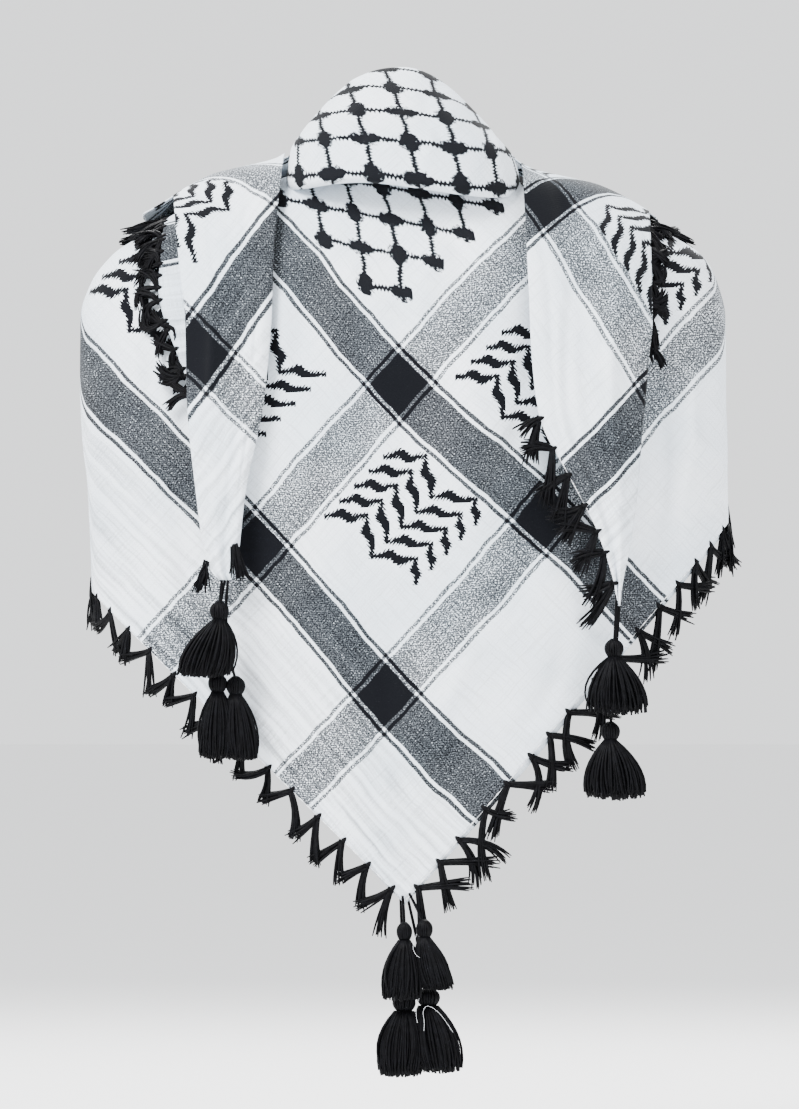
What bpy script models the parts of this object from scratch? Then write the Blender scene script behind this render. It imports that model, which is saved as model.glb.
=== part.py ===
"""A square keffiyeh headscarf, folded on its diagonal and worn round the neck and shoulders.

Each stretch of the one square is a thin wall: the triangle over the chest with its second layer, the
two wings that go round the shoulders to the back, the cowl at the throat, the two ends that cross at
the nape, and the two tails that hang in front, with their own second layers. A knotted fringe runs
along the edges, and tassels hang at the corners. Metres, +Z up, +X to the right of someone who faces
the wearer, -Y towards them. The origin is the middle of the neck's base, between the shoulders.
"""

import math
from collections import namedtuple

import bmesh
import bpy
import numpy as np
from mathutils import Vector

WALL = 0.0016  # thickness of every stretch of cloth
SEAM = 0.0003  # gap between neighbouring pieces
FULLNESS = 2.4  # exponent of the rounded sections: 2 is an ellipse, more is squarer

# The general figure that the cloth hangs round, from the neck down. lean moves a section sideways.
Level = namedtuple("Level", "height half_width front back lean")
LEVELS = (
    Level(0.095, 0.066, 0.050, 0.072, 0.000),
    Level(0.070, 0.071, 0.056, 0.077, 0.000),
    Level(0.055, 0.078, 0.062, 0.082, 0.000),
    Level(0.046, 0.090, 0.070, 0.086, 0.001),
    Level(0.033, 0.141, 0.080, 0.092, 0.002),
    Level(0.012, 0.180, 0.092, 0.099, 0.003),
    Level(-0.013, 0.223, 0.104, 0.107, 0.003),
    Level(-0.034, 0.237, 0.113, 0.112, 0.001),
    Level(-0.060, 0.2440, 0.120, 0.116, 0.000),
    Level(-0.110, 0.2445, 0.128, 0.119, 0.000),
    Level(-0.200, 0.2420, 0.134, 0.118, 0.004),
    Level(-0.270, 0.2415, 0.134, 0.114, 0.006),
    Level(-0.360, 0.2380, 0.130, 0.110, 0.0050),
    Level(-0.490, 0.2310, 0.119, 0.105, 0.0015),
    Level(-0.510, 0.2300, 0.118, 0.105, 0.0015),
)
CAPE_TOP = 0.046  # the triangle's neck end, under the cowl

# Corners of the triangle seen from the front: where its lower edge turns round the arms, and its tip.
LEFT_CORNER = (-0.2365, -0.266)
TIP = (0.0015, -0.499)
RIGHT_CORNER = (0.2470, -0.214)
NAPE_EDGE = -0.012  # height of the wings' lower edge at the middle of the back
SEAM_TURN = 0.0003  # the turn that opens half a seam between two walls that meet at the arm
LAYER_GAP = 0.0045  # between the triangle's two layers, centre to centre, away from the hem
HEM_GAP = 0.0024  # the same at the hem
UNDER_SHOWS = 0.007  # how far the second layer's hem hangs below the first on the right

# Broad soft folds of the triangle: a line from (x, z) to (x, z), its width, and its rise.
Fold = namedtuple("Fold", "from_x from_z to_x to_z width rise")
FOLDS = (
    Fold(-0.215, -0.060, -0.190, -0.300, 0.022, 0.0060),
    Fold(-0.165, -0.080, -0.120, -0.360, 0.020, -0.0050),
    Fold(-0.085, 0.030, -0.030, -0.420, 0.026, 0.0040),
    Fold(0.070, 0.030, 0.035, -0.400, 0.026, 0.0040),
    Fold(0.200, -0.030, 0.190, -0.260, 0.016, -0.0070),
    Fold(0.226, -0.060, 0.222, -0.240, 0.012, 0.0060),
)

# The cowl's rings, from where it leaves the triangle, round its roll, and over its rim. fall says how
# late a ring leaves its front height for its height beside the neck. The left side is fuller: it has a
# fall of its own, and bulge is how much wider it is.
Ring = namedtuple("Ring", "place width side_width front back height side_height fall left_fall bulge")
COWL = (
    Ring(0.00, 0.0895, 0.0855, 0.0755, 0.080, 0.0490, 0.0505, 10.0, 10.0, 0.000),
    Ring(0.08, 0.0930, 0.0857, 0.0990, 0.081, 0.0435, 0.0515, 10.0, 10.0, 0.000),
    Ring(0.16, 0.0965, 0.0857, 0.1150, 0.081, 0.0365, 0.0525, 10.0, 10.0, 0.000),
    Ring(0.24, 0.0985, 0.0850, 0.1215, 0.080, 0.0420, 0.0545, 8.0, 8.0, 0.000),
    Ring(0.36, 0.0930, 0.0825, 0.1160, 0.077, 0.0620, 0.0590, 5.0, 5.0, 0.002),
    Ring(0.52, 0.0820, 0.0775, 0.0930, 0.072, 0.0920, 0.0660, 2.6, 3.2, 0.007),
    Ring(0.68, 0.0735, 0.0735, 0.0620, 0.069, 0.1160, 0.0725, 2.0, 2.7, 0.008),
    Ring(0.80, 0.0655, 0.0670, 0.0380, 0.066, 0.1280, 0.0780, 1.9, 2.5, 0.006),
    Ring(0.88, 0.0615, 0.0635, 0.0290, 0.064, 0.1240, 0.0770, 1.9, 2.4, 0.004),
    Ring(1.00, 0.0600, 0.0625, 0.0300, 0.063, 0.1080, 0.0640, 1.9, 2.2, 0.001),
)
COWL_REACH = 1.45  # quarter turns that the cowl runs to each side of the front
BULGE_END = 1.15  # the turn where the left side's bulge is gone again
NARROWS_FROM = 0.60  # the turn where its rings start to narrow towards the neck
ROLL_SWAY = 0.0045  # the roll's lower edge is higher on one side than on the other
SWAY_HALF_WAVE = 0.10

# An end of the cloth, from the top of one shoulder round the nape to the other side of the back.
# turn is in quarter turns from the front; upper and lower are its edges. over and over_lift are the
# distances outwards and upwards of the end that passes over at the nape, under and under_lift those
# of the one beneath it.
Wrap = namedtuple("Wrap", "turn upper lower over over_lift under under_lift")
WRAP = (
    Wrap(1.00, 0.0570, 0.0190, 0.0060, 0.0065, 0.0060, 0.0145),
    Wrap(1.30, 0.0720, 0.0090, 0.0088, 0.0070, 0.0064, 0.0085),
    Wrap(1.65, 0.0820, 0.0030, 0.0125, 0.0085, 0.0068, 0.0060),
    Wrap(2.00, 0.0840, 0.0000, 0.0135, 0.0095, 0.0066, 0.0055),
    Wrap(2.30, 0.0680, -0.0220, 0.0135, 0.0095, 0.0064, 0.0056),
    Wrap(2.55, 0.0280, -0.0560, 0.0125, 0.0092, 0.0066, 0.0056),
    Wrap(2.70, -0.0180, -0.0800, 0.0105, 0.0085, 0.0062, 0.0050),
    Wrap(2.90, -0.0740, -0.0960, 0.0032, 0.0015, 0.0030, 0.0015),
)

# A tail's edges seen from the front, by height, and how far it stands off the triangle.
Hang = namedtuple("Hang", "height inner outer off")
RIGHT_TAIL = (
    Hang(0.040, 0.0897, 0.1860, 0.006),
    Hang(-0.050, 0.0940, 0.1870, 0.015),
    Hang(-0.086, 0.0955, 0.1840, 0.017),
    Hang(-0.124, 0.099, 0.1810, 0.019),
    Hang(-0.143, 0.1035, 0.1790, 0.020),
    Hang(-0.183, 0.125, 0.1760, 0.022),
    Hang(-0.224, 0.146, 0.1710, 0.024),
    Hang(-0.266, 0.1595, 0.1625, 0.025),
)
LEFT_TAIL = (
    Hang(0.040, -0.0897, -0.1735, 0.006),
    Hang(-0.028, -0.097, -0.1670, 0.013),
    Hang(-0.062, -0.098, -0.1630, 0.016),
    Hang(-0.124, -0.1035, -0.1615, 0.019),
    Hang(-0.199, -0.1185, -0.1540, 0.022),
    Hang(-0.235, -0.1225, -0.1490, 0.023),
    Hang(-0.250, -0.1247, -0.1450, 0.0238),
    Hang(-0.2585, -0.1285, -0.1372, 0.024),
)
RIGHT_UNDER = (
    Hang(0.040, 0.120, 0.1850, 0.0023),
    Hang(-0.030, 0.115, 0.1855, 0.0042),
    Hang(-0.082, 0.115, 0.1830, 0.0060),
    Hang(-0.124, 0.125, 0.1790, 0.0070),
    Hang(-0.200, 0.150, 0.1710, 0.0090),
    Hang(-0.235, 0.158, 0.1650, 0.0100),
)
LEFT_UNDER = (
    Hang(0.040, -0.110, -0.1880, 0.0023),
    Hang(-0.023, -0.110, -0.1850, 0.0045),
    Hang(-0.050, -0.110, -0.1790, 0.0055),
    Hang(-0.083, -0.112, -0.1690, 0.0065),
    Hang(-0.130, -0.115, -0.1550, 0.0080),
    Hang(-0.225, -0.125, -0.1420, 0.0100),
)
RIGHT_LIFT = 0.0070
LEFT_LIFT = 0.0150
UNDER_LIFT = 0.0025
UNDER_START = -0.18  # how far behind the top of the shoulder a tail's second layer starts
TAIL_TOP = 0.040  # the height that the tail tables count as the top of the shoulder
FOLD_CURL = 0.0075  # how far a tail turns back at its folded edge
HEM_CURL = 0.0015  # the same at its fringed edge
CURL_WIDTH = 0.05  # a tail narrower than this curls less
PLEAT = 0.0028  # rise of a tail's lengthwise ridges

WRAP_PLEAT = 0.0006

# Cells of each cloth's grid: across it, and down it.
FRONT_GRID = (24, 20)
UNDER_GRID = (16, 12)
WING_GRID = (10, 12)
COWL_GRID = (24, 16)
WRAP_GRID = (6, 36)
TAIL_GRID = (8, 18)
TAIL_UNDER_GRID = (4, 18)

# The edges that carry a fringe, from one place (u, v) on a cloth to another. inwards is one cell back
# from the edge, cells is how many of the cloth's own cells it passes, and droop turns its legs down.
Edge = namedtuple("Edge", "name cloth start end inwards cells droop")
FRONT_IN = (0, -1 / FRONT_GRID[1])
WING_IN = (0, -1 / WING_GRID[1])
TAIL_IN = (1 / TAIL_GRID[0], 0)
TAIL_UNDER_IN = (-1 / TAIL_UNDER_GRID[0], 0)
WRAP_IN = (-1 / WRAP_GRID[0], 0)
EDGES = (
    Edge("front_left_fringe", "front_drape", (0.5, 1), (0, 1), FRONT_IN, 12, 0.30),
    Edge("front_right_fringe", "front_drape", (0.5, 1), (1, 1), FRONT_IN, 12, 0.30),
    Edge("left_wing_fringe", "left_wing", (0, 1), (0.96, 1), WING_IN, 10, 0.30),
    Edge("right_wing_fringe", "right_wing", (0, 1), (0.96, 1), WING_IN, 10, 0.30),
    Edge("right_tail_fringe", "right_tail", (0, 13 / 18), (0, 17.6 / 18), TAIL_IN, 5, 0.30),
    Edge("right_under_fringe", "right_tail_under", (1, 2 / 18), (1, 12 / 18), TAIL_UNDER_IN, 10, 0.0),
    Edge("left_under_fringe", "left_tail_under", (1, 2 / 18), (1, 14 / 18), TAIL_UNDER_IN, 12, 0.0),
    Edge("right_wrap_fringe", "right_wrap", (1, 3 / 36), (1, 18 / 36), WRAP_IN, 15, 0.15),
    Edge("left_wrap_fringe", "left_wrap", (1, 3 / 36), (1, 18 / 36), WRAP_IN, 15, 0.15),
)

STRIP = 0.0020  # side of the yarn strip that carries a fringe
STRIP_GAP = 0.0011  # between the strip and the hem that it follows
KNOT_SPACING = 0.0247
KNOT_WIDTH = 0.0072
LEG_LENGTH = 0.0215
LEG_SPREAD = 0.0088
LEG_TIP = 0.85  # a leg's width at its tip over that at its root
END_SHARE = 0.004  # how far the strip stops short of each end of its edge
FINE_POINTS = 400  # points that an edge is divided into

# A tassel: where its cord starts, where its head is, where its skirt ends, and its half width there.
# seat and depth are how far behind the cloth's middle the cord starts and the head hangs.
Tassel = namedtuple("Tassel", "name cord_x cord_z head_x head_z skirt_x skirt_z half_width seat depth")
TASSELS = (
    Tassel("left_tassel_1", -0.1355, -0.2588, -0.1370, -0.2760, -0.1483, -0.3300, 0.0205, 0.0, -0.0050),
    Tassel("left_tassel_2", -0.1331, -0.2588, -0.1385, -0.3300, -0.1418, -0.3900, 0.0112, 0.0, 0.0060),
    Tassel("left_tassel_3", -0.1307, -0.2588, -0.1250, -0.3320, -0.1190, -0.3915, 0.0112, 0.0, 0.0060),
    Tassel("right_tassel_1", 0.1598, -0.2663, 0.1575, -0.3040, 0.1600, -0.3580, 0.0230, 0.0, -0.0050),
    Tassel("right_tassel_2", 0.1622, -0.2663, 0.1550, -0.3660, 0.1590, -0.4215, 0.0230, 0.0, 0.0065),
    Tassel("tip_tassel_1", -0.0005, -0.4950, 0.0010, -0.5160, -0.0010, -0.5715, 0.0150, -0.0023, -0.0065),
    Tassel("tip_tassel_2", 0.0045, -0.4930, 0.0160, -0.5140, 0.0260, -0.5640, 0.0120, -0.0023, -0.0065),
    Tassel("tip_tassel_3", -0.0020, -0.4950, -0.0060, -0.5780, -0.0100, -0.6290, 0.0150, 0.0047, 0.0080),
    Tassel("tip_tassel_4", 0.0030, -0.4950, 0.0200, -0.5740, 0.0230, -0.6260, 0.0150, 0.0047, 0.0080),
)
LOCKS = 6
FLATTENING = 0.45  # a skirt's depth over its width
HEAD_HEIGHT = 0.011
LOCK_WIDTH = 0.86  # share of its sector that a lock fills
LOCK_HEART = 0.22  # where a lock's inner edge lies, as a share of the skirt's radius
# Rings of a tassel's cord and head: radius, share of the way down the cord, share of the way down the head.
PROFILE = (
    (0.0010, 0, 0),
    (0.0010, 1, 0),
    (0.0047, 1, 0.25),
    (0.0052, 1, 0.60),
    (0.0032, 1, 0.85),
    (0.0042, 1, 1),
)
LOCK_CUTS = ((0.45, 0.72), (1.0, 1.0))  # share of the way down the skirt, share of its half width

COTTON = (0.86, 0.88, 0.90, 1)
SHADED = (0.74, 0.78, 0.80, 1)
YARN = (0.012, 0.013, 0.015, 1)


def clear_scene():
    for obj in list(bpy.data.objects):
        bpy.data.objects.remove(obj)


def collection(name):
    made = bpy.data.collections.new(name)
    bpy.context.scene.collection.children.link(made)
    return made


def material(name, colour, roughness):
    made = bpy.data.materials.new(name)
    made.use_nodes = True
    shader = made.node_tree.nodes["Principled BSDF"]
    shader.inputs["Base Color"].default_value = colour
    shader.inputs["Roughness"].default_value = roughness
    shader.inputs["Metallic"].default_value = 0
    return made


def smooth(rows, column, at):
    """The column of a table at any value of its first column, on a curve through its rows."""
    places = np.array([row[0] for row in rows])
    values = np.array([getattr(row, column) for row in rows])
    if places[0] > places[-1]:
        places, values = places[::-1], values[::-1]
    at = min(max(at, places[0]), places[-1])
    i = min(max(int(np.searchsorted(places, at)) - 1, 0), len(places) - 2)
    slopes = np.diff(values) / np.diff(places)

    def slope(k):
        if k in (0, len(places) - 1):
            return slopes[min(k, len(slopes) - 1)]
        before, after = slopes[k - 1], slopes[k]
        return 0.0 if before * after <= 0 else 2 * before * after / (before + after)

    span = places[i + 1] - places[i]
    f = (at - places[i]) / span
    return float(
        values[i] * (1 + 2 * f) * (1 - f) ** 2
        + values[i + 1] * f * f * (3 - 2 * f)
        + slope(i) * span * f * (1 - f) ** 2
        - slope(i + 1) * span * f * f * (1 - f)
    )


def rounded(share):
    """How deep a rounded section still is at this share of its half width."""
    return max(0.0, 1 - min(abs(share), 1.0) ** FULLNESS) ** (1 / FULLNESS)


def figure(turn, height, out=0.0, lift=0.0):
    """A point round the figure: turn 0 is the front, 1 the right arm, 2 the back, 3 the left arm."""
    level = height - lift
    across = math.sin(turn * math.pi / 2)
    facing = math.cos(turn * math.pi / 2)
    depth = smooth(LEVELS, "front" if facing >= 0 else "back", level) + out
    x = smooth(LEVELS, "lean", level) + (smooth(LEVELS, "half_width", level) + out) * across
    return Vector((x, -math.copysign(depth * rounded(across), facing), height))


def depth_at(side, x, height, out, lift):
    """How far the figure's front or back stands off the line of the shoulders here."""
    level = height - lift
    share = (x - smooth(LEVELS, "lean", level)) / (smooth(LEVELS, "half_width", level) + out)
    return (smooth(LEVELS, side, level) + out) * rounded(share)


def shoulder_height(x, out, lift):
    """The height of the top of the shoulder at this distance from the middle."""
    low, high = -0.06 + lift, CAPE_TOP + 0.02 + lift
    for _ in range(30):
        middle = (low + high) / 2
        reach = smooth(LEVELS, "half_width", middle - lift) + out
        if reach > abs(x - smooth(LEVELS, "lean", middle - lift)):
            low = middle
        else:
            high = middle
    return low


def lower_edge(turn, below=0.0):
    """The height of the triangle's lower edge: a V in front, rising to the nape behind."""
    side = RIGHT_CORNER if turn > 0 else LEFT_CORNER
    if abs(turn) > 1:
        return side[1] + (NAPE_EDGE - side[1]) * min(abs(turn) - 1, 1)
    height = TIP[1]
    for _ in range(8):
        x = figure(turn, height).x
        share = (x - TIP[0]) / (side[0] - TIP[0])
        height = TIP[1] - below + (side[1] - TIP[1]) * share
    return height


def folds(x, height):
    """How far the triangle's broad folds push it forward here."""
    rise = 0.0
    for fold in FOLDS:
        along = (fold.from_z - height) / (fold.from_z - fold.to_z)
        if not 0 < along < 1:
            continue
        centre = fold.from_x + (fold.to_x - fold.from_x) * along
        swell = math.sin(math.pi * along) ** 0.7
        rise += fold.rise * swell * math.exp(-(((x - centre) / fold.width) ** 2))
    return rise


def drape(turn, height, out=0.0, lift=0.0):
    point = figure(turn, height, out, lift)
    point.y -= folds(point.x, height) * max(0.0, math.cos(turn * math.pi / 2)) ** 0.3
    return point


def front_shape(u, v):
    turn = (2 * u - 1) * (1 - SEAM_TURN)
    return drape(turn, CAPE_TOP + (lower_edge(turn) - CAPE_TOP) * v)


def under_shape(u, v):
    turn = (2 * u - 1) * 0.97
    top = CAPE_TOP - 0.012
    below = UNDER_SHOWS * min(max(turn * 2.5 + 0.4, 0.15), 1)
    height = top + (lower_edge(turn, below) - top) * v
    near_hem = min(max((v - 0.8) / 0.2, 0), 1)
    gap = LAYER_GAP + (HEM_GAP - LAYER_GAP) * near_hem
    return drape(turn, height, -gap, -gap)


def wing_shape(side):
    def shape(u, v):
        turn = side * (1 + SEAM_TURN + u * (1 - 2 * SEAM_TURN))
        return figure(turn, CAPE_TOP + (lower_edge(turn) - CAPE_TOP) * v)

    return shape


def cowl_shape(u, v):
    """u runs round the throat, and v from the triangle, round the roll and over the rim."""
    turn = (2 * u - 1) * COWL_REACH
    across = math.sin(turn * math.pi / 2)
    facing = math.cos(turn * math.pi / 2)
    aside = min(max((abs(turn) - NARROWS_FROM) / (1 - NARROWS_FROM), 0), 1)
    aside = aside * aside * (3 - 2 * aside)
    width = smooth(COWL, "width", v)
    x = (width + (smooth(COWL, "side_width", v) - width) * aside) * across
    if turn < 0:
        x += smooth(COWL, "bulge", v) * across * min(max((BULGE_END + turn) / (BULGE_END - 1), 0), 1)
    depth = smooth(COWL, "front" if facing >= 0 else "back", v)
    fall = math.sin(min(abs(turn), 1) * math.pi / 2) ** smooth(COWL, "left_fall" if turn < 0 else "fall", v)
    height = smooth(COWL, "height", v)
    height += (smooth(COWL, "side_height", v) - height) * fall
    near_roll = max(0.0, 1 - abs(v - 0.16) / 0.25)
    height -= ROLL_SWAY * near_roll * math.sin(math.pi * x / SWAY_HALF_WAVE) * (1 - aside)
    return Vector((x, -math.copysign(depth * rounded(across), facing), height))


def wrap_shape(side, layer):
    """side is the shoulder that the end comes over, and layer is over or under at the nape."""

    def shape(u, v):
        turn = WRAP[0].turn + (WRAP[-1].turn - WRAP[0].turn) * v
        upper = smooth(WRAP, "upper", turn)
        lower = smooth(WRAP, "lower", turn)
        height = upper + (lower - upper) * u
        out = smooth(WRAP, layer, turn) + WRAP_PLEAT * math.cos(3 * math.pi * u)
        lift = smooth(WRAP, layer + "_lift", turn)
        return figure(side * (turn + SEAM_TURN * (1 - v)), height, out, lift)

    return shape


def tail_shape(table, lift, start, inner_curl, outer_curl, pleat):
    """u runs from the inner edge to the outer one, and v down the tail.

    start is where v is 0: 0 is the top of the shoulder, and less is behind it.
    """
    bottom = table[-1].height
    out = table[0].off

    def shape(u, v):
        place = start + (1 - start) * v
        level = TAIL_TOP + (bottom - TAIL_TOP) * abs(place) ** 1.7
        inner = smooth(table, "inner", level)
        outer = smooth(table, "outer", level)
        x = inner + (outer - inner) * u
        ridge = shoulder_height(x, out, lift)
        height = level + (ridge - TAIL_TOP) * (1 - place * place) ** 2
        if place < 0:
            return Vector((x, depth_at("back", x, height, out, lift), height))
        free = min(1.0, place * 3)
        y = -depth_at("front", x, height, out, lift) - (smooth(table, "off", level) - out) * free
        edge = 2 * u - 1
        curl = (outer_curl if edge > 0 else inner_curl) * min(1.0, abs(outer - inner) / CURL_WIDTH)
        y += free * curl * abs(edge) ** 5
        y -= free * pleat * math.cos(3 * math.pi * u) * (1 - edge * edge)
        return Vector((x, min(y, -SEAM / 2), height))

    return shape


def face_outward(solid):
    bmesh.ops.recalc_face_normals(solid, faces=solid.faces)
    if solid.calc_volume(signed=True) < 0:
        bmesh.ops.reverse_faces(solid, faces=solid.faces)


def cloth(name, shape, grid, finish, home):
    """A stretch of cloth: a grid laid on its shape and thickened to both sides."""
    sheet = bmesh.new()
    bmesh.ops.create_grid(sheet, x_segments=grid[0], y_segments=grid[1], size=1)
    for vertex in sheet.verts:
        vertex.co = shape((vertex.co.x + 1) / 2, (vertex.co.y + 1) / 2)
    mesh = bpy.data.meshes.new(name)
    sheet.to_mesh(mesh)
    sheet.free()
    mesh.shade_smooth()
    mesh.materials.append(finish)
    obj = bpy.data.objects.new(name, mesh)
    home.objects.link(obj)
    wall = obj.modifiers.new("wall", "SOLIDIFY")
    wall.thickness = WALL
    wall.offset = 0


def edge_points(shape, edge):
    """Fine points along a cloth's edge, each with its outward way and its tangent; and its length."""
    start, end = Vector(edge.start), Vector(edge.end)
    places = [start.lerp(end, i / edge.cells) for i in range(edge.cells + 1)]
    line = [shape(*place) for place in places]
    inner = [shape(*(place + Vector(edge.inwards))) for place in places]
    run = np.concatenate([[0], np.cumsum([(b - a).length for a, b in zip(line, line[1:])])])
    found = []
    for want in np.linspace(0, run[-1], FINE_POINTS):
        i = min(max(int(np.searchsorted(run, want)) - 1, 0), edge.cells - 1)
        share = (want - run[i]) / (run[i + 1] - run[i])
        point = line[i].lerp(line[i + 1], share)
        tangent = (line[i + 1] - line[i]).normalized()
        outward = point - inner[i].lerp(inner[i + 1], share)
        outward = (outward - tangent * outward.dot(tangent)).normalized()
        found.append((point, outward, tangent))
    return found, run[-1]


def strip_station(i, knots, length):
    """How far along its edge a fringe's i-th cut lies: three to a knot, and one at each end."""
    if i == 0:
        return END_SHARE
    if i == 3 * knots + 1:
        return 1 - END_SHARE
    knot, part = divmod(i - 1, 3)
    return ((knot + 0.5) * length / knots + (part - 1) * KNOT_WIDTH / 2) / length


def fringe(edge, shape, finish, home):
    """A strip of yarn along an edge, with two legs that part from each of its knots."""
    fine, length = edge_points(shape, edge)
    knots = max(2, int(length / KNOT_SPACING))
    corners = ((1, 1), (1, -1), (-1, -1), (-1, 1))
    strip = bmesh.new()
    rings = []
    for i in range(3 * knots + 2):
        share = strip_station(i, knots, length)
        point, outward, tangent = fine[round(share * (FINE_POINTS - 1))]
        normal = tangent.cross(outward)
        middle = point + outward * (STRIP_GAP + STRIP / 2)
        ring = []
        for far, high in corners:
            ring.append(strip.verts.new(middle + (outward * far + normal * high) * STRIP / 2))
        rings.append(ring)
    strip.faces.new(rings[0])
    strip.faces.new(rings[-1][::-1])
    for i, (ring, after) in enumerate(zip(rings, rings[1:])):
        for k in range(4):
            face = strip.faces.new((ring[k], ring[k - 3], after[k - 3], after[k]))
            if k == 0 and i % 3 > 0:
                leg(strip, face, fine[round((i // 3 + 0.5) / knots * (FINE_POINTS - 1))], i % 3, edge.droop)
    face_outward(strip)
    mesh = bpy.data.meshes.new(edge.name)
    strip.to_mesh(mesh)
    strip.free()
    mesh.materials.append(finish)
    home.objects.link(bpy.data.objects.new(edge.name, mesh))


def leg(strip, root, place, part, droop):
    """One leg of a knot, drawn out from a face of the strip. part 1 leans back along it, and part 2 on."""
    _, outward, tangent = place
    way = (outward + Vector((0, 0, -droop))).normalized() * LEG_LENGTH
    way += tangent * LEG_SPREAD * (1 if part == 2 else -1)
    tip = bmesh.ops.extrude_discrete_faces(strip, faces=[root])["faces"][0]
    middle = tip.calc_center_median()
    for vertex in tip.verts:
        vertex.co = middle + (vertex.co - middle) * LEG_TIP + way


def spoke(centre, radius, angle, flattening=1.0):
    """A point of a level ring round a centre."""
    return centre + Vector((radius * math.cos(angle), radius * flattening * math.sin(angle), 0))


def tassel(row, cloth_y, finish, home):
    """A cord and a bound head, with a skirt of locks that part at the head's foot."""
    cord = Vector((row.cord_x, cloth_y + row.seat, row.cord_z))
    head = Vector((row.head_x, cloth_y + row.depth, row.head_z))
    foot = head - Vector((0, 0, HEAD_HEIGHT))
    end = Vector((row.skirt_x, cloth_y + row.depth, row.skirt_z))
    sector = 2 * math.pi / LOCKS
    solid = bmesh.new()
    rings = []
    for radius, down_cord, down_head in PROFILE:
        centre = cord.lerp(head, down_cord).lerp(foot, down_head)
        rings.append([solid.verts.new(spoke(centre, radius, k * sector)) for k in range(LOCKS)])
    solid.faces.new(rings[0])
    for ring, below in zip(rings, rings[1:]):
        for k in range(LOCKS):
            solid.faces.new((ring[k], ring[k - 1], below[k - 1], below[k]))
    heart = solid.verts.new(foot)
    for k in range(LOCKS):
        root = [heart, rings[-1][k - 1], rings[-1][k]]
        middle = (k - 0.5) * sector
        for down, spread in LOCK_CUTS:
            centre, reach = foot.lerp(end, down), row.half_width * spread
            cut = [solid.verts.new(spoke(centre, reach * LOCK_HEART, middle, FLATTENING))]
            for side in (-0.5, 0.5):
                angle = middle + side * sector * LOCK_WIDTH
                cut.append(solid.verts.new(spoke(centre, reach, angle, FLATTENING)))
            for i in range(3):
                solid.faces.new((root[i], root[i - 1], cut[i - 1], cut[i]))
            root = cut
        solid.faces.new(root)
    face_outward(solid)
    mesh = bpy.data.meshes.new(row.name)
    solid.to_mesh(mesh)
    solid.free()
    mesh.materials.append(finish)
    home.objects.link(bpy.data.objects.new(row.name, mesh))


def main():
    clear_scene()
    scarf = collection("keffiyeh_headscarf")
    cotton = material("cotton", COTTON, 0.85)
    shaded = material("inner_cotton", SHADED, 0.88)
    yarn = material("black_yarn", YARN, 0.7)
    right_tail = tail_shape(RIGHT_TAIL, RIGHT_LIFT, 0, HEM_CURL, FOLD_CURL, PLEAT)
    left_tail = tail_shape(LEFT_TAIL, LEFT_LIFT, 0, FOLD_CURL, HEM_CURL * 2, PLEAT)
    left_under = tail_shape(LEFT_UNDER, UNDER_LIFT, UNDER_START, 0, 0, 0)
    right_under = tail_shape(RIGHT_UNDER, UNDER_LIFT, UNDER_START, 0, 0, 0)
    cloths = {
        "front_drape": (front_shape, FRONT_GRID, cotton),
        "under_drape": (under_shape, UNDER_GRID, shaded),
        "left_wing": (wing_shape(-1), WING_GRID, cotton),
        "right_wing": (wing_shape(1), WING_GRID, cotton),
        "neck_cowl": (cowl_shape, COWL_GRID, cotton),
        "left_wrap": (wrap_shape(-1, "under"), WRAP_GRID, cotton),
        "right_wrap": (wrap_shape(1, "over"), WRAP_GRID, cotton),
        "left_tail": (left_tail, TAIL_GRID, cotton),
        "right_tail": (right_tail, TAIL_GRID, cotton),
        "left_tail_under": (left_under, TAIL_UNDER_GRID, shaded),
        "right_tail_under": (right_under, TAIL_UNDER_GRID, shaded),
    }
    for name, (shape, grid, finish) in cloths.items():
        cloth(name, shape, grid, finish, scarf)
    for edge in EDGES:
        fringe(edge, cloths[edge.cloth][0], yarn, scarf)
    hangs_from = {"left": left_tail, "right": right_tail, "tip": front_shape}
    for row in TASSELS:
        shape = hangs_from[row.name.split("_")[0]]
        tassel(row, shape(0.5, 1).y, yarn, scarf)


main()
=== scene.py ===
"""The finished look of the keffiyeh headscarf: each stretch of its cloth as a thin woven shell on the form
of its solid, with its folds, woven bands, net and leaf rows, and the knotted fringe and tassels in yarn.

Metres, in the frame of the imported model: +Z up, +X to the right in the front view, -Y towards the camera.
"""

import math
from collections import namedtuple

import bpy
import numpy as np
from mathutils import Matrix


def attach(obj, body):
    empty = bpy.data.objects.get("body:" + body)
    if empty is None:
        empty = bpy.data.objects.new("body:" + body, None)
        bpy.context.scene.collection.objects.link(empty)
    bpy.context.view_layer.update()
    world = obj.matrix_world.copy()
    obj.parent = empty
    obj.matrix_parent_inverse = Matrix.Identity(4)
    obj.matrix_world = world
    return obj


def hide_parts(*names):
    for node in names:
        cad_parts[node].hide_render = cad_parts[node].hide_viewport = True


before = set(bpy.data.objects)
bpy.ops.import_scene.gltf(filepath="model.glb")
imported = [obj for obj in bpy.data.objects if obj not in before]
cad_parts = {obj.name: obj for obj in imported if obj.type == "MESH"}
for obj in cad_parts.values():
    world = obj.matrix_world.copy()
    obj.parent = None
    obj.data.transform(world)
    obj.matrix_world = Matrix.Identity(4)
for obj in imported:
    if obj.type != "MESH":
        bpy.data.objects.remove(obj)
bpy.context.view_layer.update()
rng = np.random.default_rng(7)

# ---- The solids' form: sizes, tables and functions like the CAD source's, for whole arrays of points.
# This script adds the creases, the sag of the roll and the yarn's own spacing, and it changes the tip of
# RIGHT_TAIL and the top of LEFT_UNDER a little.


def rows_of(kind, *rows):
    """A table of rows of one kind."""
    return [kind(*row) for row in rows]


FULLNESS = 2.4  # how square the figure is in plan: 2 would be an ellipse
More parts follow.
